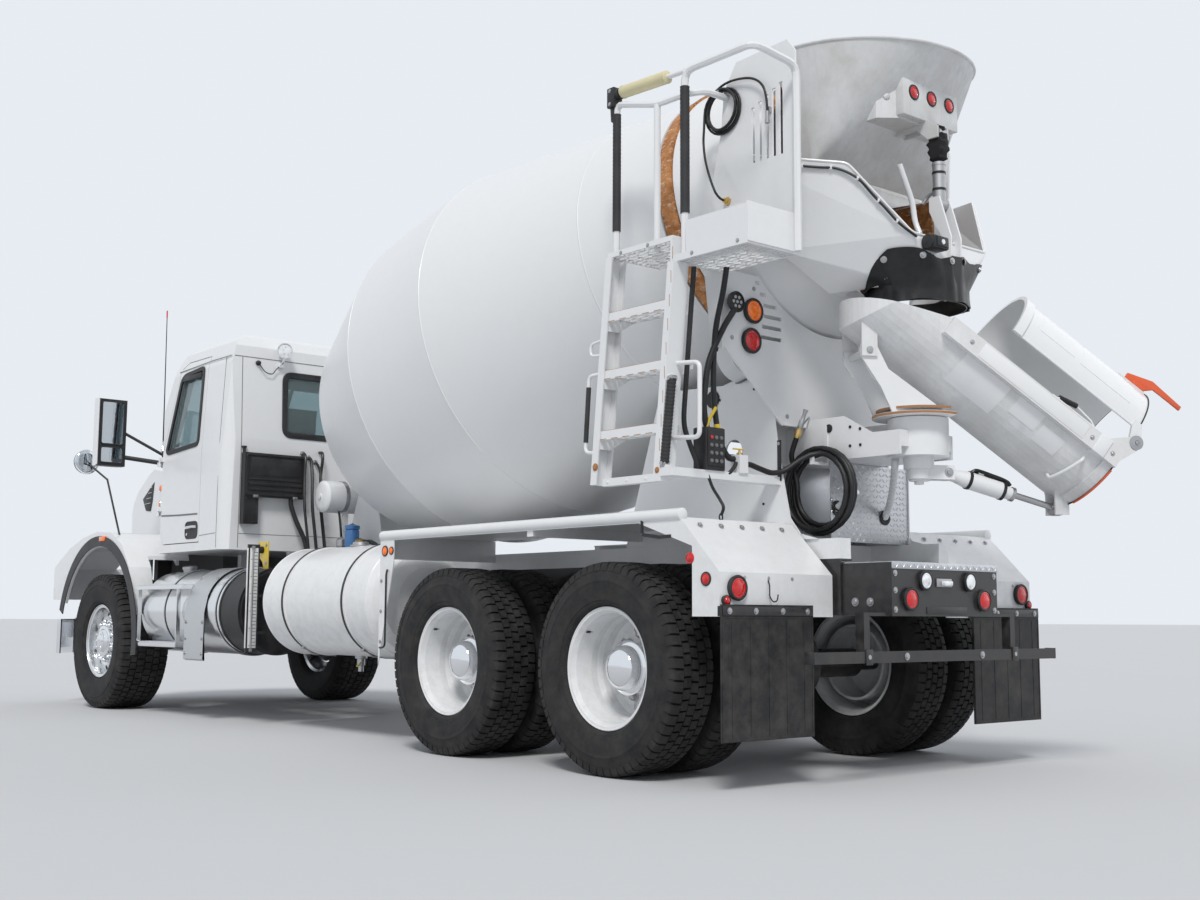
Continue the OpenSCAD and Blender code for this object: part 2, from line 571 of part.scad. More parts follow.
// Hood with its fenders tips forward about its front lower edge
hood_hinge = [7420, 0, 880];
arch_r = 800;
arch_x = 6450;
arch_z = 560;
module hood_solid(t) intersection() {
    side(-800, 800) polygon([[cowl_x + 30 - (t > 0 ? 200 : 0), 1180 - 10 * t],
        [cowl_x + 30 - (t > 0 ? 200 : 0), 2120 - t],
        [6100, 2120 - t], [6500, 2085 - t], [6900, 2000 - t], [7250, 1880 - t], [7400 - t, 1780 - t],
            [7460 - t, 1650],
        [7470 - t, 1180 - 10 * t]]);
    translate([0, 0, 900 - 10 * t]) linear_extrude(1500) polygon([[cowl_x - 200, -780 + t], [6300,
        -740 + t],
        [7440, -560 + t], [7500, -520 + t], [7500, 520 - t], [7440, 560 - t], [6300, 740 - t],
            [cowl_x - 200, 780 - t]]);
    cross(cowl_x - 300, 7600) polygon([[-780 + t, 900 - 10 * t], [-780 + t, 1850], [-740 + t, 1980],
        [-640 + t, 2075 - t],
        [-480, 2130 - t], [480, 2130 - t], [640 - t, 2075 - t], [740 - t, 1980], [780 - t, 1850],
            [780 - t, 900 - 10 * t]]);
}
fender_y = 1240;
module fender_outline() {
    polygon([[5690, 520], [5720, 900], [5800, 1150], [5960, 1330], [6200, 1440], [6500, 1460], [6800, 1420],
        [7100, 1340], [7300, 1250], [7454, 1180], [7454, 900], [7200, 900], [6450, 300]]);
}
module arch_cut() { translate([arch_x, arch_z]) circle(arch_r - 30, $fn = 240); }
module hood() color("white") {
    difference() {
        hood_solid(0);
        hood_solid(hood_t);
        cross(7380, 7600) translate([-430, 1000]) square([860, 640]);
        both() side(500, 900) arch_cut();
    }
    both() difference() {
        side(700, fender_y) difference() {
            fender_outline();
            translate([0, -hood_t]) fender_outline();
            arch_cut();
        }
        // Swings clear of the cab's lower corner
        side(600, 1056) translate([hood_hinge[0], hood_hinge[2]]) difference() {
            translate([-2200, -600]) square([1000, 1200]);
            circle(1578, $fn = 120);
        }
    }
    both() box([7432, 560, 900], [7454, fender_y, 1180]);
    both() side(fender_y - hood_t, fender_y) difference() {
        fender_outline();
        arch_cut();
    }
    // Hinge lugs
    both() difference() {
        box([7380, 470, 850], [7450, 500, 1200]);
        translate([hood_hinge[0], 0, hood_hinge[2]]) along_y(460, 510, hood_pin_r + slip);
    }
}
hood_pin_r = 15;
module hood_trim() color("#4a4a4a") {
    // Black arch flares
    both() side(fender_y, fender_y + 8) difference() {
        intersection() {
            translate([arch_x, arch_z]) circle(arch_r + 60);
            polygon([[5000, 500], [6450, 400], [7450, 900], [8000, 900], [8000, 2000], [5000, 2000]]);
        }
        translate([arch_x, arch_z]) circle(arch_r - 25);
    }
    // Grille
    for (k = [-3:3]) box([7420, k * 120 - 8, 1000], [7455, k * 120 + 8, 1640]);
    for (z = [1010, 1320, 1615]) box([7425, -430, z], [7450, 430, z + 20]);
    // Round mirrors on their stalks
    both() {
        rod([6150, 1190, 1427], [6400, 1215, 1900], 8);
        rod([6396, 1214, 1893], [6525, 1345, 2040], 8);
        translate([6515, 1350, 2043]) rotate([0, 90, 0]) cylinder(r = 100, h = 28);
    }
}
module headlamps() color("gainsboro") both() {
    box([7454, 760, 960], [7474, 1130, 1110]);
}
module bumper() color("silver") {
    side(-bumper_w / 2 + 200, bumper_w / 2 - 200) polygon([[bumper_x - 12, 430], [bumper_x, 430],
        [bumper_x, 730],
        [bumper_x - 80, 760], [bumper_x - 80, 748], [bumper_x - 12, 722]]);
    both() translate([0, 0, 430]) linear_extrude(300) polygon([[bumper_x, bumper_w / 2 - 200],
        [bumper_x - 12, bumper_w / 2 - 200],
        [bumper_x - 160, bumper_w / 2 - 10], [bumper_x - 240, bumper_w / 2 - 10], [bumper_x - 240,
            bumper_w / 2],
        [bumper_x - 154, bumper_w / 2]]);
    both() side(rail_out, rail_out + 12) polygon([[rail_front - 200, 560], [bumper_x - 12, 560],
        [bumper_x - 12, 700],
        [rail_front, 700], [rail_front, 900], [rail_front - 200, 900]]);
    // Hood hinge pins on brackets
    both() {
        translate([hood_hinge[0], 0, hood_hinge[2]]) along_y(440, 535, hood_pin_r);
        box([7380, rail_out + 11, 560], [7450, 460, 900]);
    }
}

// Tanks, steps and boxes
tank_y = 850;
module water_tank() color("white") {
    translate([0, tank_y, 870]) rotate([0, 90, 0]) {
        translate([0, 0, 2230]) cylinder(r = water_r, h = 1320);
        for (e = [[2230, -1], [3550, 1]]) translate([0, 0, e[0]]) scale_z(e[1]) rotate_extrude($fn = 72)
            polygon([[0, 0], [water_r, 0], [water_r - 20, 50], [water_r - 70, 90], [water_r - 160, 125],
                [water_r - 260, 145], [0, 150]]);
        for (x = [2480, 3250]) translate([0, 0, x]) cylinder(r = water_r + 6, h = 50);
    }
    for (x = [2480, 3250]) box([x, rail_out, 560], [x + 50, tank_y - 200, 640]);
    for (x = [2480, 3250]) box([x, rail_out, 560], [x + 50, rail_out + 20, 1040]);
}
module scale_z(k) { if (k > 0) children(); else mirror([0, 0, 1]) children(); }
module fuel_tank() color("silver") {
    translate([0, 880, 800]) rotate([0, 90, 0]) {
        translate([0, 0, 4260]) cylinder(r = fuel_r, h = 1360);
        for (x = [4300, 5180]) translate([0, 0, x]) cylinder(r = fuel_r + 6, h = 60);
    }
    for (x = [4500, 5450]) box([x, rail_out, 760], [x + 60, 700, 860]);
    // Cab steps
    box([4790, 1000, 965], [5640, 1235, 995]);
    box([4880, 1000, 530], [5640, 1235, 565]);
    for (x = [4880, 5600]) box([x, 1205, 540], [x + 12, 1235, 990]);
    mirror([0, 1, 0]) {
        box([4790, 1100, 965], [5640, 1235, 995]);
        box([4880, 1100, 530], [5640, 1235, 565]);
        for (x = [4880, 5600]) box([x, 1205, 540], [x + 12, 1235, 990]);
    }
}
module side_boxes() color("#2a2c2e") {
    translate([3960, 880, 800]) rotate([0, 90, 0]) cylinder(r = fuel_r - 6, h = 299);
    box([4100, rail_out, 760], [4160, 640, 860]);
    // Dark box on the cab's rear wall
    box([cab_x - 75, 410, 1660], [cab_x - 9, 920, 1990]);
    box([cab_x - 70, 800, 1453], [cab_x - 9, 920, 1717]);
    // Sight gauge
    box([3850, 1095, 516], [3870, 1181, 1265]);
    for (z = [640, 900]) box([3865, 1030, z], [3961, 1110, z + 20]);
    mirror([0, 1, 0]) {
        box([4300, 520, 500], [5640, 1100, 1010]);
        box([4500, rail_out, 700], [4600, 520, 900]);
        box([5200, rail_out, 700], [5300, 520, 900]);
        translate([3200, 780, 800]) rotate([0, 90, 0]) cylinder(r = 160, h = 1100);
    }
}
fender_side = 1222;
module rear_fenders() color("white") both() {
    side(rail_out + 20, fender_side) polygon([[2040, 1250], [-300, 1250], [-560, 1235], [-816, 978],
        [-816, 778],
        [-810, 778], [-810, 975], [-556, 1228], [-300, 1243], [2040, 1243]]);
    side(fender_side - 6, fender_side) difference() {
        polygon([[-300, 1250], [-560, 1235], [-816, 978], [-816, 778], [-640, 778], [-640, 1100], [-200,
            1243]]);
        translate([0, axle_z]) circle(660);
    }
    side(fender_side - 6, fender_side) polygon([[2050, 480], [2050, 1250], [1900, 1250], [1900, 1090]]);
    box([-560, fender_side - 20, 1220], [2040, fender_side, 1250]);
    translate([-560, fender_side - 14, 1250]) rotate([0, 90, 0]) cylinder(r = 30, h = 2600);
    for (x = [-500, 560]) box([x, ped_y + 12, 1190], [x + 50, fender_side - 6, 1243]);
    box([1960, rail_out, 1110], [2010, fender_side - 6, 1243]);
}
module mudflaps() color("#18191b") both() {
    box([-852, 635, 224], [-842, 1245, 832]);
    box([-842, 640, 780], [-816, 1235, 825]);
}
module tail_box() color("#232527") {
    difference() {
        box([-1148, -420, 784], [rail_rear, 420, 1036]);
        box([-1140, -412, 770], [rail_rear - 4, 412, 1030]);
    }
    box([-1136, -950, 569], [-1126, 950, 622]);
    box([-1126, -950, 569], [-1076, 950, 575]);
    both() box([-1126, 560, 575], [-1076, 600, 800]);
    both() box([-1126, 400, 784], [-1076, 600, 800]);
}
// Lamps: forward, left, up, radius, thickness behind the lamp
LAMPS = [[-816, 1119, 907, 55, 16], [-1148, 292, 864, 52, 14], [-1148, 177, 953, 45, 14],
    [-816, 1190, 850, 22, 14], [cradle_x, 617, 2312, 62, 16], [cradle_x, 632, 2157, 62, 16]];
module lamps() color("crimson") both()
    for (l = LAMPS) translate([l[0] - l[4], l[1], l[2]]) rotate([0, 90, 0]) cylinder(r = l[3], h = l[4]);

// Ladder and platform on the left side
STEPS_Z = [1697, 2000, 2290];
floor_z = 2500;
landing_z = 2600;
step_y = 1200;
rail_foot = 1430;
function lean(z) = 0.1 * (1500 - z);
module ladder_rail(x0, x1, y0, y1, top) side(y0, y1) polygon([[x0 + lean(rail_foot), rail_foot],
    [x1 + lean(rail_foot), rail_foot], [x1 + lean(top), top], [x0 + lean(top), top]]);
// Open frame with bars running forward
module bar_grate(a, b, n) {
    difference() {
        box(a, b);
        box(a + [10, 10, -1], b + [-10, -10, 1]);
    }
    for (k = [1:n]) let (y = a[1] + k * (b[1] - a[1]) / (n + 1)) box([a[0] + 5, y - 3, a[2]], [b[0] - 5,
        y + 3, b[2]]);
}
module ladder() color("white") {
    // Channel rails: web, then its two flanges
    for (q = [[-400, -392, -356, floor_z - 30], [109, 101, 64, landing_z - 26]]) {
        ladder_rail(min(q[0], q[1]), max(q[0], q[1]), step_y - 100, step_y, q[3]);
        for (y = [step_y - 8, step_y - 100]) ladder_rail(min(q[0], q[2]), max(q[0], q[2]), y, y + 8, q[3]);
    }
    for (z = STEPS_Z) {
        x0 = -372 + lean(z);
        x1 = 80 + lean(z);
        box([x0, step_y - 18, z - 45], [x1, step_y - 10, z]);
        bar_grate([x0, 1000, z - 25], [x1, step_y - 10, z - 2], 4);
        for (x = [x0, x1 - 6]) cross(x, x + 6) polygon([[1010, z - 25], [step_y - 12, z - 25],
            [step_y - 12, z - 90], [step_y - 80, z - 90]]);
    }
    box([-400, step_y - 50, 1417], [20, step_y, 1455]);
    box([-480, ped_y + 12, 1440], [-395, step_y, 1480]);
    // Water valve
    box([-490, 690, 1480], [-430, 750, 1570]);
}
module platform() color("white") {
    bar_grate([-957, 832, floor_z - 30], [-470, 1172, floor_z], 8);
    bar_grate([-470, 832, landing_z - 26], [0, 1190, landing_z], 8);
    box([-478, 832, floor_z - 30], [-462, 1190, landing_z]);
    // Toe boards
    box([-960, 1172, floor_z - 30], [-560, 1180, floor_z + 157]);
    box([-560, 1172, floor_z - 30], [-470, 1180, floor_z + 5]);
    box([-965, 836, floor_z - 20], [-957, 1180, floor_z + 165]);
    // Outer and inner handrails, then the two posts beside the ladder
    tube(route([[-523, 1150, floor_z - 10], [-523, 1150, 3415], [-980, 1150, 3415], [-980, 856, 3385],
        [-980, 856, floor_z - 20]], 60), 19);
    tube(route([[-22, 1150, landing_z - 10], [-22, 1150, 3385], [-330, 1150, 3300], [-480, 1120, 3315],
        [-500, 990, 3360], [-500, 832.3, 3360]], 50), 17);
    rod([-326, 1150, landing_z - 10], [-326, 1150, 3300], 17);
    // Padded bar across the ladder's top and its clamp
    rod([0, 1150, 3440], [-523, 1150, 3415], 13);
    rod([-70, 1150, 3437], [-395, 1150, 3421], 29);
    box([-27, 1122, 3370], [22, 1178, 3470]);
}

// Charge hopper and its tilt hinge
hopper_x = -700;
hopper_z = 3636;
hopper_lean = 3.5;
hopper_hinge = [-570, 0, 3500];
hopper_bar_r = 16;
hopper_base = [-1160, 0, 2830];
hopper_eye = [-1160, 0, 3195];
hopper_pin_r = 10;
module hopper_cone(t) hull() {
    translate([hopper_x, 0, hopper_z]) rotate([0, -hopper_lean, 0]) cylinder(r = hopper_r - t,
        h = t > 0 ? 2 : 1, $fn = 72);
    box([-742 + t, -480 + t, 3030], [-500, 480 - t, 3032]);
}
// Everything ahead of the hopper's front wall
module hopper_front(thick) translate([-540, 0, 3750]) rotate([0, drum_tilt, 0])
    box([thick > 0 ? -thick : 0, -900, -1200], [thick > 0 ? 0 : 900, 900, 300]);
module hopper() color("white") {
    difference() {
        union() {
            hopper_cone(0);
            // Lamp bar and the lift cylinder's lugs
            translate([0, 0, 3250]) linear_extrude(205) polygon([[-1080, -215], [-1080, 215], [-1010,
                300], [-900, 300],
                [-900, -300], [-1010, -300]]);
            for (y = [-46, 34]) side(y, y + 12) polygon([[-1190, 3165], [-1190, 3225], [-1080, 3300],
                [-900, 3300],
                [-900, 3230], [-1060, 3230], [-1130, 3165]]);
        }
        hopper_cone(sheet);
        hopper_front(0);
    }
    translate(hopper_eye) along_y(-46, 46, hopper_pin_r);
    difference() {
        intersection() {
            hopper_cone(0);
            hopper_front(sheet);
        }
        box([-1400, -300, 3062], [0, 300, 3290]);
    }
    // Apron below the lip
    cross(-697, -689) polygon([[470, 3031], [-470, 3031], [-150, 2935], [150, 2935]]);
    // Hinge ears
    both() side(390, 402) difference() {
        union() {
            translate([hopper_hinge[0], hopper_hinge[2]]) circle(24);
            translate([-606, 3476]) square([36, 48]);
        }
        translate([hopper_hinge[0], hopper_hinge[2]]) circle(hopper_bar_r + slip);
    }
}
module hopper_barrel() color("silver") difference() {
    union() {
        rod(hopper_base, hopper_base + [0, 0, 215], 32);
        translate(hopper_base) along_y(-32, 32, 32);
    }
    translate(hopper_base) along_y(-40, 40, hopper_pin_r + slip);
    rod(hopper_base + [0, 0, 60], hopper_base + [0, 0, 240], 14 + slip);
}
module hopper_rod() color("gainsboro") difference() {
    union() {
        rod(hopper_base + [0, 0, 90], hopper_eye - [0, 0, 20], 14);
        translate(hopper_eye) along_y(-32, 32, 34);
    }
    translate(hopper_eye) along_y(-40, 40, hopper_pin_r + 13);
}
module collector() color("white") {
    difference() {
        union() {
            hull() {
                box([-560, -820, 3050], [-550, 820, 3060]);
                box([-1000, -517, 2965], [-990, 517, 2975]);
                box([-1215, -300, 2612], [-1205, 300, 2622]);
                translate([-pivot_back, 0, collar_z]) cylinder(r = collar_r, h = 10);
                box([-730, -330, collar_z], [-720, 330, collar_z + 10]);
                box([-640, 560, 2590], [-630, 620, 2600]);
            }
            // Lugs of the hopper's lift cylinder
            for (y = [-46, 34]) side(y, y + 12) polygon([[-1250, 2470], [-1228, 2520], [-1209, 2612],
                [-1205, 2625],
                [-1130, 2790], [-1130, 2860], [-1190, 2860], [-1255, 2640]]);
        }
        hull() {
            box([-552, -812, 3072], [-530, 812, 3082]);
            box([-992, -509, 2987], [-982, 509, 2997]);
            box([-1207, -292, 2634], [-1197, 292, 2644]);
            translate([-pivot_back, 0, collar_z - 10]) cylinder(r = collar_r - sheet, h = 10);
            box([-730, -322, collar_z + sheet], [-710, 322, collar_z + 2 * sheet]);
            box([-645, 550, 2604], [-600, 611, 2612]);
        }
        on_drum() translate([0, 0, 2742]) cylinder(r1 = 830, r2 = mouth_r + 30, h = mouth_s - 2742,
            $fn = 96);
        on_drum() translate([0, 0, mouth_s - 1]) cylinder(r = mouth_r + 30, h = 21, $fn = 96);
    }
    translate(hopper_base) along_y(-46, 46, hopper_pin_r);
}
collar_z = 2400;
collar_r = 252;
skirt_z = 2314;
module skirt() color("#1c1c1e") translate([-pivot_back, 0, skirt_z]) difference() {
    cylinder(r = collar_r, h = collar_z - skirt_z);
    translate([0, 0, -1]) cylinder(r = collar_r - sheet, h = 200);
}

// Chute, drawn with forward along the chute about the swivel axis
module at_swivel() { translate([-pivot_back, 0, 0]) rotate([0, 0, 180 + park_turn]) children(); }
tilt_pin = [-300, 0, 2080];
tilt_pin_r = 18;
flange_at = [76, 0, 2226];
module on_slope() { translate(flange_at) rotate([0, chute_slope, 0]) children(); }
module chute_swivel() color("white") at_swivel() {
    translate([0, 0, arm_low - 60]) cylinder(r = post_r, h = arm_top - arm_low + 70);
    for (q = [[arm_top + 3, 16, 225, 120], [arm_top + 36, 8, 205, 95]]) translate([0, 0,
        q[0]]) linear_extrude(q[1])
        intersection() {
            circle(q[2], $fn = 96);
            translate([-q[2], -q[2]]) square([q[2] + q[3], 2 * q[2]]);
        }
    // Bracket up to the tilt pin
    both() difference() {
        side(112, 124) polygon([[-180, arm_top + 10], [90, arm_top + 10], [60, arm_top + 50], [-200,
            1990], [-260, 2110],
            [-340, 2110], [-340, 2050], [-240, 1900]]);
        translate([tilt_pin[0], 0, tilt_pin[2]]) along_y(100, 140, tilt_pin_r + slip);
    }
    // Lower lugs and pin for the lift cylinder
    both() box([30, 34, 1460], [170, 46, 1530]);
    translate(lift_base) along_y(-46, 46, lift_pin_r);
    translate([0, 0, 1460]) cylinder(r = 60, h = 60);
}
lift_base = [139, 0, 1496];
lift_eye = [737, 0, 1327];
lift_pin_r = 14;
lift_turn = atan2(lift_base[2] - lift_eye[2], lift_eye[0] - lift_base[0]);
lift_len = norm(lift_eye - lift_base);
module on_lift() { translate(lift_base) rotate([0, 90 + lift_turn, 0]) children(); }
module trough(r, s0, s1, up) on_slope() translate([s0, 0, -trough_d]) rotate([90, 0, 90])
    linear_extrude(s1 - s0) {
        intersection() {
            translate([0, trough_r]) circle(r);
            translate([-r, 0]) square([2 * r, trough_r]);
        }
        translate([-r, trough_r]) square([2 * r, up - trough_r]);
    }
bowl_x = -120;
bowl_slope = 14.5;
module bowl(r, over) intersection() {
    translate([0, 0, 1500]) linear_extrude(1200) {
        translate([bowl_x, 0]) circle(r);
        translate([bowl_x, -r]) square([230, 2 * r]);
    }
    trough(r, -700, 100, 1200);
    translate(flange_at) rotate([0, bowl_slope, 0]) box([-900, -600, -900], [600, 600, over]);
}
module main_chute() color("white") at_swivel() {
    difference() {
        union() {
            bowl(trough_r, 0);
            trough(trough_r, 0, chute_len, trough_d);
            trough(trough_r + 10, chute_len - 60, chute_len, trough_r);
        }
        bowl(trough_r - sheet, sheet);
        trough(trough_r - sheet, -20, chute_len + 20, 500);
    }
    // Square tubes along the upper edges
    on_slope() both() box([0, trough_r - sheet, -rim_box_h], [chute_len, trough_r + 30, 0]);
    both() side(126, 138) polygon([[-340, 2050], [-260, 2050], [-260, 2160], [-340, 2218]]);
    translate([tilt_pin[0], 0, tilt_pin[2]]) along_y(-138, 138, tilt_pin_r);
    // Rod lugs and pin under the low end
    both() side(40, 52) polygon([[700, 1295], [775, 1295], [775, 1363], [700, 1418]]);
    translate(lift_eye) along_y(-52, 52, lift_pin_r - 2);
    // Lugs of the fold-over hinge
    on_slope() both() difference() {
        side(286, 300) polygon([[980, -60], [1078, -60], [1125, 40], [1125, 98], [1080, 98], [960, -10]]);
        translate([fold_pin_s, 0, fold_pin_up]) along_y(280, 310, fold_pin_r + slip);
    }
}
fold_pin_s = 1100;
fold_pin_up = 73;
fold_pin_r = 12;
module fold_chute() color("white") at_swivel() on_slope() {
    translate([fold_pin_s - 20, 0, 2 * fold_pin_up])
        mirror([1, 0, 0]) rotate([90, 0, 90]) linear_extrude(fold_len) difference() {
            circle(trough_r);
            circle(trough_r - sheet);
            translate([-400, -800]) square([800, 800]);
        }
    translate([fold_pin_s - 20 - fold_len, 0, 2 * fold_pin_up]) rotate([90, 0,
        90]) linear_extrude(50) difference() {
        circle(trough_r + 12);
        circle(trough_r - sheet);
        translate([-400, -800]) square([800, 800]);
    }
    both() side(266, 282) polygon([[1040, 146], [1040, 175], [1085, 175], [1125, 100], [1125, 50], [1078,
        50]]);
    both() translate([fold_pin_s, 0, fold_pin_up]) along_y(266, 304, fold_pin_r);
}
module chute_barrel() color("white") at_swivel() difference() {
    union() {
        on_lift() cylinder(r = 32, h = 375);
        on_lift() translate([0, 0, 62]) cylinder(r1 = 34, r2 = 44, h = 60);
        on_lift() translate([0, 0, 122]) cylinder(r = 44, h = 190);
        translate(lift_base) along_y(-32, 32, 32);
    }
    translate(lift_base) along_y(-40, 40, lift_pin_r + slip);
    on_lift() translate([0, 0, 150]) cylinder(r = 16 + slip, h = 300);
}
module chute_rod() color("silver") at_swivel() difference() {
    union() {
        on_lift() translate([0, 0, 225]) cylinder(r = 16, h = lift_len - 245);
        translate(lift_eye) along_y(-34, 34, 34);
    }
    translate(lift_eye) along_y(-50, 50, lift_pin_r - 2 + 13);
}

// Hoses on their hooks
wash_r = 15;
coil_at = [-585, 268, 1415];
coil_r = 190;
coil_t = 45;
module wash_coil() color("#202020") translate(coil_at) rotate([90, 0, 0])
    rotate_extrude($fn = 48) translate([coil_r, 0]) circle(coil_t, $fn = 24);
WASH = [[-460, 690, 1530], [-460, 630, 1530], [-480, 480, 1490], [-560, 450, 1530], [-615, 375, 1600],
    [-615, coil_at[1] + coil_t + slip, 1600]];
module wash_hose() color("#202020") tube(route(WASH, 40), wash_r);
module platform_hose() color("#202020") translate([-480, 852, 3300]) rotate([90, 0, 0])
    rotate_extrude($fn = 48) translate([110, 0]) circle(20, $fn = 24);

module rigid_wheel(name, x, z, k) {
    at_frame() at_axle(x, z, k) children();
}
at_frame() chassis_frame();
at_frame() mixer_subframe();
at_frame() rear_pedestal();
at_frame() drum_cradle();
at_frame() swivel_arm();
at_frame() drum_drive();
at_frame() engine_block();
at_frame() cab_shell();
at_frame() cab_glass();
at_frame() cab_interior();
at_frame() door();  // door_left
at_frame() mirror([0, 1, 0]) door();  // door_right
at_frame() door_glass();  // door_glass_left
at_frame() mirror([0, 1, 0]) door_glass();  // door_glass_right
at_frame() mirrors();
at_frame() hood();
at_frame() hood_trim();
at_frame() headlamps();
at_frame() bumper();
at_frame() fuel_tank();
at_frame() side_boxes();
at_frame() water_tank();
at_frame() front_axle();
at_frame() rear_axles();
rigid_wheel("knuckle_left", wheelbase, steer_z, 1) knuckle();
rigid_wheel("knuckle_right", wheelbase, steer_z, -1) knuckle();
rigid_wheel("tyre_front_left", wheelbase, steer_z, 1) front_tyre();
rigid_wheel("tyre_front_right", wheelbase, steer_z, -1) front_tyre();
rigid_wheel("rim_front_left", wheelbase, steer_z, 1) front_rim();
rigid_wheel("rim_front_right", wheelbase, steer_z, -1) front_rim();
rigid_wheel("tyres_mid_left", tandem_gap, axle_z, 1) rear_tyres();
rigid_wheel("tyres_mid_right", tandem_gap, axle_z, -1) rear_tyres();
rigid_wheel("rims_mid_left", tandem_gap, axle_z, 1) rear_rims();
rigid_wheel("rims_mid_right", tandem_gap, axle_z, -1) rear_rims();
rigid_wheel("tyres_rear_left", 0, axle_z, 1) rear_tyres();
rigid_wheel("tyres_rear_right", 0, axle_z, -1) rear_tyres();
rigid_wheel("rims_rear_left", 0, axle_z, 1) rear_rims();
rigid_wheel("rims_rear_right", 0, axle_z, -1) rear_rims();
at_frame() rear_fenders();
at_frame() mudflaps();
at_frame() tail_box();
at_frame() lamps();
at_frame() ladder();
at_frame() platform();
at_frame() drum();
at_frame() drum_ring();
at_frame() hopper();
at_frame() hopper_barrel();
at_frame() hopper_rod();
at_frame() collector();
at_frame() skirt();
at_frame() chute_swivel();
at_frame() main_chute();
at_frame() fold_chute();
at_frame() chute_barrel();
at_frame() chute_rod();
at_frame() wash_hose();
at_frame() wash_coil();
at_frame() platform_hose();
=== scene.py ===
"""Concrete mixer truck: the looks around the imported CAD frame.

Lengths are in metres, in the frame's own axes. Only the profiles of turned shapes are in millimetres."""
import bpy
import bmesh
import json
import math
from mathutils import Matrix, Vector

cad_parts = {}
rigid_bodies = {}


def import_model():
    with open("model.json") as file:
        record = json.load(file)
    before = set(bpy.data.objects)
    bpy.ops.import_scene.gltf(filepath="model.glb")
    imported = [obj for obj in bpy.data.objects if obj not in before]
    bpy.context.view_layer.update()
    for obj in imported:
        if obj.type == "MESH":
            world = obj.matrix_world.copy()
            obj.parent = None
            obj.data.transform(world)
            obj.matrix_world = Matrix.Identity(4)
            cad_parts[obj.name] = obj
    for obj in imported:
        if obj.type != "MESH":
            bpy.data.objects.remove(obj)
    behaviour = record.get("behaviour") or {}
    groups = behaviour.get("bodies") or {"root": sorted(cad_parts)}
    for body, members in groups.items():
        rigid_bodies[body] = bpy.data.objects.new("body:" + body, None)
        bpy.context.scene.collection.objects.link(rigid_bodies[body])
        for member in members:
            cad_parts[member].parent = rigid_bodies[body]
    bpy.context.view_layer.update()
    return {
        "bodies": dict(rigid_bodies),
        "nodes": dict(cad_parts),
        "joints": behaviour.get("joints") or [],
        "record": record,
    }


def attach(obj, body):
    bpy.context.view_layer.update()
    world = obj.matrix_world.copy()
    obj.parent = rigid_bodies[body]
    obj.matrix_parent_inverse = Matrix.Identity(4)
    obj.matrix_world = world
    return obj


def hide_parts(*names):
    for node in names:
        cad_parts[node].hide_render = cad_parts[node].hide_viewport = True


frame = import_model()
NODES = frame["nodes"]

# Shapes are drawn from the rearmost axle, which lies this far behind the part's origin
MID = 2.92
SHIFT = Vector((MID, 0, 0))
# Height of the driven axles, the place of the middle one, and the steered one's place and height
REAR_Z, MIDDLE_X, FRONT_X, FRONT_Z = 0.523, 1.372, 6.47, 0.553
# Centre lines of the tanks
FUEL_Y, FUEL_Z, WATER_Y, WATER_Z = 0.88, 0.8, 0.85, 0.87
# Slopes of the drum and of the chute, and how far to one side the chute is parked
DRUM_TILT, SLOPE, PARK = math.radians(11.74), math.radians(36.2), math.radians(60)
# The chute's swivel: its axis, the height of the lift cylinder's lower eye, and the cylinder's distance from the axis
SWIVEL_X, EYE_Z, EYE_OUT = -1.0, 1.496, 0.139
# Radius of both troughs, and the height of their centres in the chute's own frame
TROUGH_R = 0.27
MAIN_UP, FOLD_UP = TROUGH_R - 0.29, 0.146
HOPPER_LIFT_X = -1.16
AHEAD, BACK, LEFT, UP, DOWN = (1, 0, 0), (-1, 0, 0), (0, 1, 0), (0, 0, 1), (0, 0, -1)
BOTH = ((1, "left"), (-1, "right"))


# ---------------------------------------------------------------- camera
def camera():
    """The photo's camera, as it was fitted to the wheels."""
    az, el, roll = math.radians(-40.368), math.radians(6.644), math.radians(0.29)
    look = Vector((math.cos(el) * math.cos(az), math.cos(el) * math.sin(az), math.sin(el)))
    side = look.cross(Vector(UP)).normalized()
    up = side.cross(look)
    right = math.cos(roll) * side + math.sin(roll) * up
    top = -math.sin(roll) * side + math.cos(roll) * up
    cam = bpy.data.cameras.new("camera")
    cam.sensor_fit, cam.sensor_width, cam.lens = "HORIZONTAL", 36.0, 42.85
    cam.clip_start, cam.clip_end = 0.1, 200
    obj = bpy.data.objects.new("camera", cam)
    obj.matrix_world = Matrix((
        (right.x, top.x, -look.x, -5.361 - MID),
        (right.y, top.y, -look.y, 5.792),
        (right.z, top.z, -look.z, 0.776),
        (0, 0, 0, 1)))
    bpy.context.scene.collection.objects.link(obj)
    bpy.context.scene.camera = obj


camera()


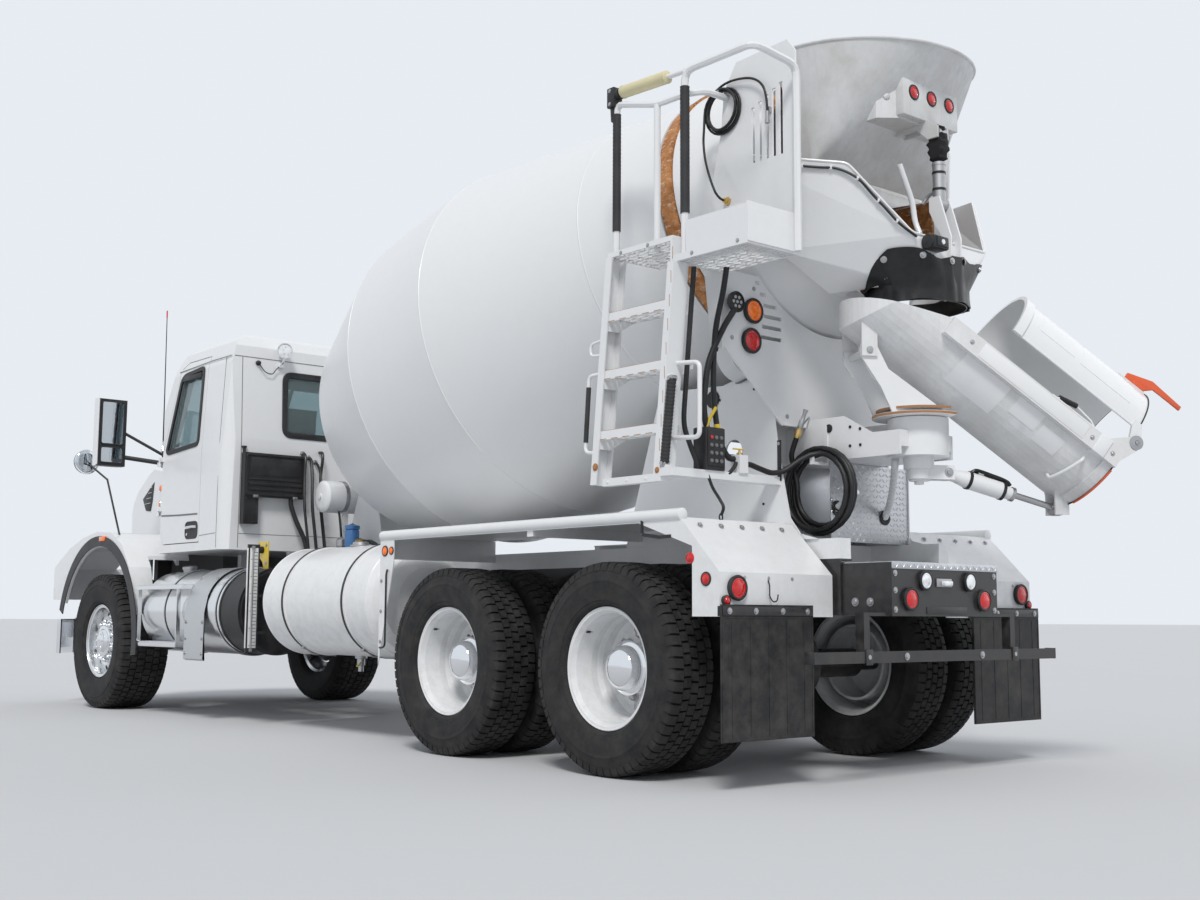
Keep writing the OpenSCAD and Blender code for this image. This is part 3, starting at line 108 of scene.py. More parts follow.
# ---------------------------------------------------------------- materials
class Mat:
    """A node material built by small steps."""

    def __init__(self, name):
        self.m = bpy.data.materials.new(name)
        self.m.use_nodes = True
        self.t = self.m.node_tree
        self.b = self.t.nodes["Principled BSDF"]
        self.coord = self.t.nodes.new("ShaderNodeTexCoord").outputs["Object"]

    def node(self, kind, **inputs):
        """A new node with its inputs set; names that begin with p_ are its properties."""
        n = self.t.nodes.new(kind)
        for k, v in inputs.items():
            if k.startswith("p_"):
                setattr(n, k[2:], v)
            else:
                self.put(n.inputs[k.replace("_", " ")], v)
        return n

    def put(self, socket, v):
        """Link a socket to another one, or give it a value."""
        if isinstance(v, bpy.types.NodeSocket):
            self.t.links.new(v, socket)
        else:
            socket.default_value = v

    def set(self, **kw):
        """Set inputs of the surface."""
        for k, v in kw.items():
            self.put(self.b.inputs[k.replace("_", " ")], v)

    def noise(self, scale, detail, rough, vector=None):
        n = self.node("ShaderNodeTexNoise", Scale=scale, Detail=detail, Roughness=rough)
        self.t.links.new(vector or self.coord, n.inputs["Vector"])
        return n.outputs["Fac"]

    def scaled(self, x, y, z):
        n = self.node("ShaderNodeMapping", Scale=(x, y, z))
        self.t.links.new(self.coord, n.inputs["Vector"])
        return n.outputs["Vector"]

    def ramp(self, fac, lo, hi, a=0.0, b=1.0):
        """The value from lo to hi, carried to a to b and held there."""
        n = self.node("ShaderNodeMapRange", Value=fac, From_Min=lo, From_Max=hi, To_Min=a, To_Max=b)
        n.clamp = True
        return n.outputs["Result"]

    def math(self, op, a, b):
        n = self.node("ShaderNodeMath", p_operation=op)
        self.put(n.inputs[0], a)
        self.put(n.inputs[1], b)
        return n.outputs[0]

    def mix(self, fac, a, b):
        n = self.node("ShaderNodeMix", p_data_type="RGBA")
        self.put(n.inputs["Factor"], fac)
        for s, v in ((n.inputs[6], a), (n.inputs[7], b)):
            self.put(s, v if isinstance(v, bpy.types.NodeSocket) else (*v, 1) if len(v) == 3 else v)
        return n.outputs[2]

    def axis(self, which):
        n = self.node("ShaderNodeSeparateXYZ")
        self.t.links.new(self.coord, n.inputs[0])
        return n.outputs[which]

    def bump(self, height, distance, strength):
        n = self.node("ShaderNodeBump", Distance=distance, Strength=strength, Height=height)
        self.t.links.new(n.outputs["Normal"], self.b.inputs["Normal"])


def paint(name, colour, rough=0.3, coat=0.35, dirt=(0.42, 0.4, 0.37), dirt_amount=0.18, low=1.1):
    """Sprayed paint: orange peel, faint cloudiness and road dust towards the ground."""
    m = Mat(name)
    cloud = m.ramp(m.noise(1.7, 5, 0.6), 0.35, 0.7)
    tint = m.mix(m.math("MULTIPLY", cloud, 0.05), colour, [c * 0.8 for c in colour])
    height = m.ramp(m.axis("Z"), low + 0.3, low - 0.7)
    speck = m.ramp(m.noise(14, 8, 0.7), 0.42, 0.72)
    dust = m.math("MULTIPLY", m.math("ADD", m.math("MULTIPLY", height, 0.8), 0.12), speck)
    m.set(Base_Color=m.mix(m.math("MULTIPLY", dust, dirt_amount * 2), tint, dirt))
    m.set(Roughness=m.ramp(dust, 0, 0.5, rough, min(1, rough + 0.3)), Coat_Weight=coat, Coat_Roughness=0.12)
    m.bump(m.noise(260, 2, 0.5), 0.00025, 0.5)
    return m.m


def plain_metal(name, colour, rough, streak=(1, 1, 1), amount=0.15):
    """Metal with a fine directional grain and softer patches."""
    m = Mat(name)
    grain = m.noise(40, 6, 0.6, m.scaled(*streak))
    patch = m.noise(2.5, 3, 0.5)
    m.set(Base_Color=m.mix(m.math("MULTIPLY", grain, amount), colour, [c * 0.6 for c in colour]), Metallic=1.0)
    m.set(Roughness=m.math("ADD", m.ramp(patch, 0.3, 0.7, rough * 0.7, rough * 1.3),
            m.math("MULTIPLY", grain, amount * 0.4)))
    m.bump(grain, 0.0002, 0.4)
    return m.m


def rubber(name, colour, rough, dust=(0.16, 0.15, 0.14), amount=0.35, fine=60):
    """Rubber or moulded plastic, dusty in patches."""
    m = Mat(name)
    n = m.ramp(m.noise(9, 8, 0.65), 0.4, 0.75)
    m.set(Base_Color=m.mix(m.math("MULTIPLY", n, amount), colour, dust),
            Roughness=m.ramp(n, 0, 1, rough - 0.1, rough + 0.1))
    m.set(Specular_IOR_Level=0.35)
    m.bump(m.noise(fine, 5, 0.6), 0.0008, 0.5)
    return m.m


def cast(name, colour, rough=0.6):
    """A rough casting, painted or rusted."""
    m = Mat(name)
    n = m.noise(90, 6, 0.7)
    patch = m.ramp(m.noise(3, 5, 0.6), 0.4, 0.7)
    m.set(Base_Color=m.mix(m.math("MULTIPLY", patch, 0.35), colour, [c * 0.55 + 0.03 for c in colour]), Roughness=rough)
    m.bump(n, 0.0015, 0.6)
    return m.m


def lens(name, colour, glow=0.0):
    """A moulded lens: ribs inside, gloss outside."""
    m = Mat(name)
    cells = m.node("ShaderNodeTexVoronoi", Scale=38.0)
    m.t.links.new(m.coord, cells.inputs["Vector"])
    d = cells.outputs["Distance"]
    m.set(Base_Color=m.mix(m.ramp(d, 0.1, 0.6), colour, [min(1, c * 1.5) for c in colour]), Roughness=0.16,
            Coat_Weight=0.6, Coat_Roughness=0.03, Emission_Color=(*colour, 1), Emission_Strength=glow)
    m.bump(d, 0.001, 0.5)
    return m.m


def glass(name, tint):
    """Tinted glass with faint smears."""
    m = Mat(name)
    smear = m.noise(6, 5, 0.6)
    m.set(Base_Color=m.mix(m.math("MULTIPLY", smear, 0.1), tint, [c * 0.9 for c in tint]),
            Roughness=m.ramp(smear, 0.3, 0.8, 0.02, 0.08), Transmission_Weight=0.85, IOR=1.45)
    return m.m


def cloth(name, colour):
    """Woven seat cover."""
    m = Mat(name)
    weave = m.node("ShaderNodeTexWave", Scale=180.0, Distortion=0.3)
    m.t.links.new(m.coord, weave.inputs["Vector"])
    n = m.noise(5, 5, 0.6)
    m.set(Base_Color=m.mix(m.math("MULTIPLY", n, 0.4), colour, [c * 0.6 for c in colour]), Roughness=0.85)
    m.bump(weave.outputs["Fac"], 0.0006, 0.5)
    return m.m


def rusted_track(name):
    """Rust that the rollers have wiped bright in streaks."""
    m = Mat(name)
    n = m.noise(18, 10, 0.7)
    wipe = m.noise(60, 4, 0.6, m.scaled(0.4, 1, 1))
    rust = m.mix(m.ramp(n, 0.35, 0.65), (0.3, 0.105, 0.03), (0.62, 0.29, 0.1))
    m.set(Base_Color=m.mix(m.ramp(wipe, 0.55, 0.7), rust, (0.75, 0.62, 0.5)), Roughness=0.75, Metallic=0.15)
    m.bump(n, 0.002, 0.6)
    return m.m


def cemented(name, colour, amount=0.55):
    """White paint worn and dulled by set cement."""
    m = Mat(name)
    big = m.ramp(m.noise(4.0, 8, 0.68), 0.4, 0.66)
    drip = m.ramp(m.noise(9, 6, 0.6, m.scaled(3, 3, 0.35)), 0.45, 0.7)
    blot = m.math("MAXIMUM", m.math("MULTIPLY", big, 0.8), m.math("MULTIPLY", drip, 0.55))
    m.set(Base_Color=m.mix(m.math("MULTIPLY", blot, amount), colour, (0.5, 0.49, 0.46)),
            Roughness=m.ramp(blot, 0, 1, 0.45, 0.85), Coat_Weight=0.1)
    m.bump(m.math("MULTIPLY", m.noise(120, 6, 0.7), blot), 0.0015, 0.6)
    return m.m


WHITE = (0.8, 0.81, 0.82)
M = {
    "white": paint("body_white", WHITE),
    "drum": paint("drum_white", (0.79, 0.8, 0.81), rough=0.36, coat=0.25, dirt_amount=0.1, low=0.2),
    "chute": cemented("chute_white", (0.77, 0.78, 0.79)),
    "hopper": cemented("hopper_grey", (0.7, 0.71, 0.72), amount=0.8),
    "black": paint("frame_black", (0.016, 0.016, 0.018), rough=0.4, coat=0.2, dirt=(0.12, 0.11, 0.1), dirt_amount=0.3),
    "plastic": rubber("trim_black", (0.02, 0.02, 0.022), 0.5, (0.09, 0.09, 0.09), 0.3, 200),
    "flare": rubber("flare_grey", (0.035, 0.037, 0.04), 0.55, (0.1, 0.1, 0.1), 0.25, 200),
    "rust": rusted_track("ring_rust"),
    "drive": cast("drive_grey", (0.55, 0.56, 0.58), 0.5),
    "engine": cast("engine_grey", (0.12, 0.12, 0.12)),
    "glass": glass("cab_glass", (0.5, 0.62, 0.64)),
    "cloth": cloth("seat_cloth", (0.035, 0.035, 0.038)),
    "red": lens("lens_red", (0.42, 0.002, 0.003), 0.05),
    "amber": lens("lens_amber", (0.7, 0.13, 0.004), 0.08),
    "clear": lens("lens_clear", (0.62, 0.64, 0.66)),
    "chrome": plain_metal("chrome", (0.83, 0.84, 0.86), 0.07, amount=0.03),
    "alu": plain_metal("polished_alu", (0.8, 0.81, 0.82), 0.17, streak=(1, 1, 9), amount=0.1),
    "brush": plain_metal("brushed_alu", (0.62, 0.63, 0.64), 0.33, streak=(0.3, 1, 6), amount=0.25),
    "steel": plain_metal("bare_steel", (0.48, 0.48, 0.49), 0.35, amount=0.3),
    "tyre": rubber("tyre_rubber", (0.013, 0.013, 0.014), 0.8, (0.11, 0.105, 0.1), 0.4),
    "rubber": rubber("sheet_rubber", (0.012, 0.012, 0.013), 0.6),
    "hose": rubber("hose_black", (0.014, 0.014, 0.015), 0.45, (0.08, 0.08, 0.08), 0.25, 300),
    "plate": plain_metal("tread_plate", (0.6, 0.61, 0.63), 0.3, streak=(1, 1, 2), amount=0.3),
    "brass": plain_metal("brass", (0.72, 0.5, 0.2), 0.3, amount=0.2),
    "mirror": plain_metal("mirror_glass", (0.6, 0.64, 0.68), 0.02, amount=0.01),
    "seam": rubber("seam_grey", (0.16, 0.165, 0.17), 0.6, (0.25, 0.25, 0.25), 0.3, 200),
    "vent": rubber("vent_black", (0.01, 0.01, 0.011), 0.6),
    "yellow": paint("lever_yellow", (0.72, 0.52, 0.03), dirt_amount=0.2),
    "orange": paint("lever_orange", (0.72, 0.1, 0.02), dirt_amount=0.15),
    "blue": paint("filter_blue", (0.05, 0.2, 0.5), dirt_amount=0.2),
    "wrap": rubber("strut_wrap", (0.03, 0.03, 0.032), 0.7, (0.12, 0.12, 0.12), 0.3, 120),
    "scale": paint("scale_white", (0.78, 0.79, 0.78), rough=0.4, dirt_amount=0.3, low=2.0),
    "pad": rubber("pad_cream", (0.72, 0.66, 0.42), 0.6, (0.5, 0.45, 0.3), 0.3, 90),
    "edge_rust": cast("edge_rust", (0.42, 0.2, 0.08), 0.75),
    "sheet": rubber("skirt_sheet", (0.012, 0.012, 0.013), 0.38, (0.06, 0.06, 0.06), 0.3, 25),
    "boot": rubber("boot_black", (0.012, 0.012, 0.013), 0.8, (0.05, 0.05, 0.05), 0.3, 30),
}
# The look of each CAD node
LOOK = {"black": ["chassis_frame", "front_axle", "rear_axles", "knuckle_left", "knuckle_right", "tail_box"],
        "white": ["mixer_subframe", "rear_pedestal", "drum_cradle", "swivel_arm", "cab_shell", "door_left",
        "door_right", "hood", "water_tank", "rims_mid_left", "rims_mid_right", "rims_rear_left", "rims_rear_right",
        "rear_fenders", "ladder", "platform", "collector", "chute_swivel", "fold_chute", "chute_barrel"],
        "drum": ["drum"], "rust": ["drum_ring"], "drive": ["drum_drive"], "engine": ["engine_block"],
        "glass": ["cab_glass", "door_glass_left", "door_glass_right"], "cloth": ["cab_interior"],
        "plastic": ["mirrors", "side_boxes", "lamps"], "flare": ["hood_trim"], "clear": ["headlamps"],
        "chrome": ["bumper"], "alu": ["fuel_tank", "rim_front_left", "rim_front_right"], "tyre": ["tyre_front_left",
        "tyre_front_right", "tyres_mid_left", "tyres_mid_right", "tyres_rear_left", "tyres_rear_right"],
        "rubber": ["mudflaps", "skirt"], "hopper": ["hopper"], "chute": ["main_chute"],
        "steel": ["hopper_barrel", "hopper_rod", "chute_rod"], "hose": ["wash_hose", "wash_coil", "platform_hose"],}
for look, names in LOOK.items():
    for n in names:
        mats = NODES[n].data.materials
        if len(mats):
            mats[0] = M[look]
        else:
            mats.append(M[look])


# ---------------------------------------------------------------- shapes
def circle(r, n=10, squash=1.0):
    """Section of a round bar, which may be flattened."""
    return [(r * math.cos(2 * math.pi * k / n), r * squash * math.sin(2 * math.pi * k / n)) for k in range(n)]


def strip(w, t, sink=0.0):
    """Section of a flat band: across the path, then out from what it lies on."""
    e = min(w, t) * 0.3
    return [(-w / 2, -sink), (w / 2, -sink), (w / 2, t - e), (w / 2 - e, t), (-w / 2 + e, t), (-w / 2, t - e)]


def rounded(pts, r, n=5, loop=False):
    """The points with each corner turned into an arc."""
    pts = [Vector(p) for p in pts]
    out = []
    for i, p in enumerate(pts):
        if not loop and i in (0, len(pts) - 1):
            out.append(p)
            continue
        a, b = pts[i - 1] - p, pts[(i + 1) % len(pts)] - p
        cut = min(r, a.length * 0.45, b.length * 0.45)
        a, b = p + a.normalized() * cut, p + b.normalized() * cut
        for k in range(n + 1):
            t = k / n
            out.append(a * (1 - t) ** 2 + p * 2 * t * (1 - t) + b * t * t)
    return out


def smooth_line(pts, n=6):
    """A smooth curve through the points."""
    pts = [Vector(p) for p in pts]
    ext = [pts[0] * 2 - pts[1]] + pts + [pts[-1] * 2 - pts[-2]]
    out = []
    for i in range(1, len(ext) - 2):
        p0, p1, p2, p3 = ext[i - 1:i + 3]
        for k in range(n):
            t = k / n
            out.append(0.5 * (2 * p1 + (p2 - p0) * t + (2 * p0 - 5 * p1 + 4 * p2 - p3) * t ** 2
                              + (3 * p1 - 3 * p2 + p3 - p0) * t ** 3))
    return out + [pts[-1]]


def cross_panel(x, y0, y1, z0, z1, r, n=4):
    """Outline of a rounded rectangle that faces along the truck."""
    return rounded([(x, y0, z0), (x, y1, z0), (x, y1, z1), (x, y0, z1)], r, n, True)


def side_panel(y, x0, x1, z0, z1, r, n):
    """Outline of a rounded rectangle that faces sideways."""
    return rounded([(x0, y, z0), (x1, y, z0), (x1, y, z1), (x0, y, z1)], r, n, True)


class Piece:
    """One piece gathered from small shapes, drawn in the rear-axle frame or in the given one."""

    def __init__(self, name, body, *looks, frame=None):
        self.name, self.body, self.looks, self.frame = name, body, looks, frame
        self.bm = bmesh.new()

    def skin(self, rings, mat=0, loop=False):
        """A surface over rings of points, closed at both ends."""
        rows = [[self.bm.verts.new(p) for p in ring] for ring in rings]
        n = len(rows[0])
        made = []
        for a, b in list(zip(rows, rows[1:])) + ([(rows[-1], rows[0])] if loop else []):
            for i in range(n):
                j = (i + 1) % n
                made.append(self.bm.faces.new((a[i], a[j], b[j], b[i])))
        if not loop:
            made += [self.bm.faces.new(rows[0][::-1]), self.bm.faces.new(rows[-1])]
        for f in made:
            f.material_index, f.smooth = mat, True

    def sweep(self, pts, section, mat=0, normal=None, loop=False, taper=None):
        """The section carried along the points."""
        pts = [Vector(p) for p in pts]
        n, up, rings = len(pts), None, []
        for i, p in enumerate(pts):
            a = pts[(i - 1) % n] if i or loop else p
            b = pts[(i + 1) % n] if i < n - 1 or loop else p
            t = (b - a).normalized()
            if normal is not None:
                up = Vector(normal(p) if callable(normal) else normal)
            elif up is None:
                up = t.orthogonal()
            up = (up - t * up.dot(t)).normalized()
            side = t.cross(up)
            k = taper(i / (n - 1)) if taper else 1.0
            rings.append([p + side * (u * k) + up * (v * k) for u, v in section])
        self.skin(rings, mat, loop)

    def tube(self, pts, r, mat=0, n=10, taper=None):
        self.sweep(pts, circle(r, n), mat, taper=taper)

    def ribbed(self, pts, r, mat, depth, turns, n=10):
        """A tube with waves all along it."""
        self.tube(pts, r, mat, n, lambda t: 1 + depth * math.sin(t * turns))

    def band(self, pts, w, t, normal, mat=0, loop=True, sink=0.001):
        """A flat strip of width w and thickness t laid along the points."""
        self.sweep(pts, strip(w, t, sink), mat, normal, loop)

    def torus(self, centre, axis, big, small, mat=0, n=32, m=8):
        axis = Vector(axis).normalized()
        u = axis.orthogonal().normalized()
        w = axis.cross(u)
        pts = [Vector(centre) + (u * math.cos(a) + w * math.sin(a)) * big
                for a in (math.radians(360 * k / n) for k in range(n))]
        self.sweep(pts, circle(small, m), mat, axis, True)

    def lathe(self, centre, axis, profile, mat=0, n=32, closed=False):
        """Profile points are along the axis, then out from it."""
        centre, axis = Vector(centre), Vector(axis).normalized()
        u = axis.orthogonal().normalized()
        w = axis.cross(u)
        rows = []
        for k in range(n):
            a = 2 * math.pi * k / n
            d = u * math.cos(a) + w * math.sin(a)
            rows.append([self.bm.verts.new(centre + axis * s + d * max(r, 1e-6)) for s, r in profile])
        m = len(profile)
        for i in range(n):
            a, b = rows[i], rows[(i + 1) % n]
            for j in range(m if closed else m - 1):
                q = (j + 1) % m
                f = self.bm.faces.new((a[j], a[q], b[q], b[j]))
                f.material_index, f.smooth = mat, True

    def turned(self, centre, axis, profile, mat=0, n=32, closed=False):
        """As lathe, with the profile in millimetres."""
        self.lathe(centre, axis, [(s / 1000, r / 1000) for s, r in profile], mat, n, closed)

    def ring(self, centre, axis, half, r0, r1, mat, n):
        """A flat hoop, half its width to either side of the centre."""
        self.lathe(centre, axis, [(-half, r0), (-half, r1), (half, r1), (half, r0)], mat, n, True)

    def merge(self, tmp, mat):
        new = {v: self.bm.verts.new(v.co) for v in tmp.verts}
        for f in tmp.faces:
            g = self.bm.faces.new([new[v] for v in f.verts])
            g.material_index, g.smooth = mat, True
        tmp.free()

    def box(self, lo, hi, mat=0, edge=0.004):
        tmp = bmesh.new()
        bmesh.ops.create_cube(tmp, size=1.0)
        lo, hi = [min(a, b) for a, b in zip(lo, hi)], [max(a, b) for a, b in zip(lo, hi)]
        for v in tmp.verts:
            v.co = Vector([lo[i] + (v.co[i] + 0.5) * (hi[i] - lo[i]) for i in range(3)])
        e = min([edge] + [(hi[i] - lo[i]) * 0.3 for i in range(3)])
        bmesh.ops.bevel(tmp, geom=tmp.edges[:], offset=e, segments=2, profile=0.5, affect="EDGES")
        self.merge(tmp, mat)

    def prism(self, pts, along, mat=0, edge=0.0):
        """A flat outline given a thickness."""
        tmp = bmesh.new()
        a = [tmp.verts.new(p) for p in pts]
        b = [tmp.verts.new(Vector(p) + Vector(along)) for p in pts]
        tmp.faces.new(a[::-1])
        tmp.faces.new(b)
        for i in range(len(pts)):
            j = (i + 1) % len(pts)
            tmp.faces.new((a[i], a[j], b[j], b[i]))
        if edge:
            bmesh.ops.bevel(tmp, geom=tmp.edges[:], offset=edge, segments=2, profile=0.5, affect="EDGES")
        self.merge(tmp, mat)

    def bolt(self, c, axis, r, mat):
        """A washer and a hexagonal head."""
        h = r * 0.7
        self.lathe(c, axis, [(-0.001, 0), (-0.001, r * 1.5), (r * 0.18, r * 1.5), (r * 0.2, r * 1.05), (r * 0.2, 0)],
                mat, 14)
        self.lathe(c, axis, [(0, 0), (0, r), (h * 0.8, r), (h, r * 0.82), (h, 0)], mat, 6)

    def done(self, *nodes):
        """Make the object, on its body and in place of the nodes that it replaces."""
        bmesh.ops.remove_doubles(self.bm, verts=self.bm.verts[:], dist=1e-5)
        bmesh.ops.recalc_face_normals(self.bm, faces=self.bm.faces[:])
        mesh = bpy.data.meshes.new(self.name)
        self.bm.to_mesh(mesh)
        self.bm.free()
        if self.frame is not None:
            mesh.transform(self.frame)
        mesh.transform(Matrix.Translation(-SHIFT))
        mesh.set_sharp_from_angle(angle=math.radians(40))
        for look in self.looks:
            mesh.materials.append(M[look])
        obj = bpy.data.objects.new(self.name, mesh)
        bpy.context.scene.collection.objects.link(obj)
        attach(obj, self.body)
        if nodes:
            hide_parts(*nodes)
        return obj


def lozenges(p, corner, u, v, pitch=0.03):
    """Raised lozenges in alternating directions over the plate spanned by u and v."""
    corner, u, v = Vector(corner), Vector(u), Vector(v)
    nu, nv = max(1, int(u.length / pitch)), max(1, int(v.length / pitch))
    out = u.cross(v).normalized()
    du, dv = u.normalized(), v.normalized()
    for i in range(nu):
        for j in range(nv):
            c = corner + u * ((i + 0.5) / nu) + v * ((j + 0.5) / nv)
            a = (du + dv if (i + j) % 2 else du - dv).normalized()
            b = out.cross(a)
            low, top = (0.0135, 0.004, 0), (0.0095, 0.0022, 0.0016)
            p.skin([[c + q + out * rise for q in (a * long, b * wide, -a * long, -b * wide)] for long, wide,
                    rise in (low, top)])


def seen_from_axle(node, where, normal):
    """A point on a node and the surface's direction there, in the rear-axle frame."""
    return node.matrix_world @ where + SHIFT, (node.matrix_world.to_3x3() @ normal).normalized()


def landing(name, start, way):
    """Where a ray meets a node, in the rear-axle frame, and the surface's direction there."""
    node = NODES[name]
    back = node.matrix_world.inverted()
    a = back @ (Vector(start) - SHIFT)
    b = back @ (Vector(start) + Vector(way) - SHIFT)
    hit, where, normal, _ = node.ray_cast(a, (b - a).normalized())
    if not hit:
        raise ValueError(name)
    return seen_from_axle(node, where, normal)


def nearest(name, point):
    """The closest point of a node, in the rear-axle frame, and the surface's direction there."""
    node = NODES[name]
    _, where, normal, _ = node.closest_point_on_mesh(node.matrix_world.inverted() @ (Vector(point) - SHIFT))
    return seen_from_axle(node, where, normal)


# ---------------------------------------------------------------- the hoses, after the camera
COIL, COIL_R = Vector((-0.585, 0.268, 1.415)), 0.19
HOSE_D = 0.028


def hose(name, line, diameter, nozzle, *nodes):
    """A free hose that follows a line to its nozzle."""
    data = bpy.data.curves.new(name, "CURVE")
    data.dimensions = "3D"
    data.bevel_depth, data.bevel_resolution = diameter / 2, 3
    spline = data.splines.new("POLY")
    spline.points.add(len(line) - 1)
    for point, p in zip(spline.points, line):
        point.co = (p.x - MID, p.y, p.z, 1)
    data.materials.append(M["hose"])
    obj = bpy.data.objects.new(name, data)
    bpy.context.scene.collection.objects.link(obj)
    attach(obj, "chassis")
    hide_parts(*nodes)


def wash_hose():
    """From the valve along the route to the hook, round the coil, and up to its nozzle."""
    lead = smooth_line([(-0.46, 0.69, 1.53), (-0.459, 0.64, 1.529), (-0.463, 0.57, 1.512), (-0.476, 0.5, 1.497),
                        (-0.505, 0.44, 1.512), (-0.545, 0.382, 1.56), (-0.582, 0.335, 1.592)], 4)
    turns, start, pts = 4, 100, []
    for k in range(24 * turns - 6 + 1):
        a = math.radians(start + 15 * k)
        q = math.radians(90 - 60 * (15 * k) / 360)
        out, side = 0.029 * math.cos(q), 0.029 * math.sin(q)
        r = COIL_R + out
        pts.append(COIL + Vector((r * math.cos(a), side, r * math.sin(a))))
    last = pts[-1]
    tail = smooth_line([pts[-2], last, last + Vector((0.012, 0.006, 0.075)), (last.x - 0.01, 0.302, last.z + 0.15),
                        (-0.44, 0.304, 1.64), (-0.468, 0.302, 1.705)], 4)[5:]
    line = lead + pts + tail
    nozzle = Piece("wash_nozzle", "chassis", "steel", "hose", "brass")
    a, up = line[-1], (line[-1] - line[-3]).normalized()
    nozzle.turned(a - up * 0.012, up, [(0, 14.6), (0, 18), (30, 19), (34, 16.5), (50, 16.5), (50, 0)], 2, 20)
    nozzle.turned(a + up * 0.03, up, [(0, 0), (0, 13), (12, 16), (50, 16), (55, 12), (85, 10), (105, 13), (110, 13),
            (110, 7), (105, 6), (105, 0)], 0, 18)
    nozzle.tube(rounded([a + up * 0.06 + Vector((-0.014, 0, 0)), a + up * 0.1 + Vector((-0.045, 0, 0)),
            a + up * 0.03 + Vector((-0.05, 0, 0))], 0.02), 0.0045, 0, 8)
    hose("wash_hose_cord", line, HOSE_D, nozzle.done(), "wash_hose", "wash_coil")


def platform_hose():
    """From its fitting up to the hook, a little more than four times round, and across to its clip."""
    lead = smooth_line([(-0.5, 0.846, 2.83), (-0.4998, 0.868, 2.8305), (-0.499, 0.885, 2.835), (-0.497, 0.9, 2.845),
            (-0.492, 0.911, 2.861), (-0.484, 0.915, 2.882), (-0.45, 0.91, 2.95), (-0.405, 0.895, 3.05),
            (-0.377, 0.88, 3.15), (-0.37, 0.869, 3.23)], 4)
    pts = []
    for k in range(101):
        a = math.radians(15 * k)
        q = math.radians(90) + a / 6
        r = 0.11 + 0.013 * math.cos(q)
        pts.append(Vector((-0.48 + r * math.cos(a), 0.852 + 0.013 * math.sin(q), 3.3 + r * math.sin(a))))
    tail = smooth_line([pts[-2], pts[-1], (-0.5, 0.85, 3.432), (-0.6, 0.853, 3.428), (-0.7, 0.857, 3.4),
            (-0.765, 0.858, 3.345), (-0.788, 0.857, 3.27), (-0.792, 0.856, 3.2)], 4)[5:]
    nozzle = Piece("platform_nozzle", "chassis", "steel")
    nozzle.turned((-0.792, 0.856, 3.2), DOWN, [(-10, 0), (-10, 9), (30, 9), (32, 12), (50, 12), (52, 0)], 0, 12)
    hose("platform_hose_cord", lead + pts + tail, 0.0124, nozzle.done(), "platform_hose")


wash_hose()
platform_hose()


# ---------------------------------------------------------------- wheels
PITCH = 6.0


def tyre(p, x, z, y, r, w, rows):
    """Carcass with its beads and rings, then tread blocks row by row."""
    seat, base = 0.2903, r - 0.014
    half = [(0.3, seat), (0.315, 0.303), (0.42, 0.312), (0.447, 0.322), (0.452, 0.332), (0.464, 0.334), (0.47, 0.345),
            (0.494, r - 0.14), (0.5, r - 0.113), (0.497, r - 0.1), (0.503, r - 0.097), (0.503, r - 0.091),
            (0.494, r - 0.088), (0.486, r - 0.065), (0.474, r - 0.05), (0.462, r - 0.036), (0.44, base - 0.004),
            (0.4, base)]
    prof = [(-a * w, b) for a, b in half] + [(a * w, b) for a, b in half[::-1]]
    p.lathe((x, y, z), LEFT, prof + [prof[0]], 0, 80)
    for i, (lo, hi, shift, shoulder) in enumerate(rows):
        for k in range(int(360 / PITCH)):
            a0 = math.radians((k + shift) * PITCH)
            a1 = a0 + math.radians(PITCH * 0.8)
            skew = math.radians(PITCH * 0.16) * (1 if i % 2 else -1)
            if shoulder:
                sec = [(lo * w, base - 0.003), (lo * w, r), (shoulder * 0.41 * w, r - 0.003),
                        (shoulder * 0.455 * w, r - 0.012), (shoulder * 0.48 * w, r - 0.045),
                        (shoulder * 0.455 * w, r - 0.045)]
            else:
                sec = [(lo * w, base - 0.003), (lo * w + 0.002, r), (hi * w - 0.002, r), (hi * w, base - 0.003)]
            rings = []
            for a in (a0, (a0 + a1) / 2, a1):
                ring = []
                for out, far in sec:
                    turn = a + skew * (out / w) * 2
                    ring.append((x + far * math.cos(turn), y + out, z + far * math.sin(turn)))
                rings.append(ring)
            p.skin(rings)


# Tread rows: from and to, as shares of the width, how far the row is shifted round, and the shoulder's side
REAR_ROWS = [(-0.27, -0.46, 0, -1), (-0.255, -0.095, 0.5, 0), (-0.08, 0.08, 0, 0), (0.095, 0.255, 0.5, 0),
        (0.27, 0.46, 0, 1)]
FRONT_ROWS = [(-0.3, -0.46, 0, -1), (-0.285, -0.165, 0.4, 0), (-0.15, -0.01, 0, 0), (0.01, 0.15, 0.5, 0),
        (0.165, 0.285, 0.1, 0), (0.3, 0.46, 0.5, 1)]


def hub_nuts(p, x, z, y, side, r, big, n, shift, h, mat):
    """A circle of n nuts of radius r and height h."""
    for k in range(n):
        a = math.radians(360 / n * k + shift)
        c = (x + big * math.cos(a), y, z + big * math.sin(a))
        p.lathe(c, (0, side, 0), [(0, 0), (0, r * 1.35), (0.004, r * 1.35), (0.006, r), (h * 0.7, r * 0.96),
                (h * 0.9, r * 0.75), (h, r * 0.3), (h, 0)], mat, 12)


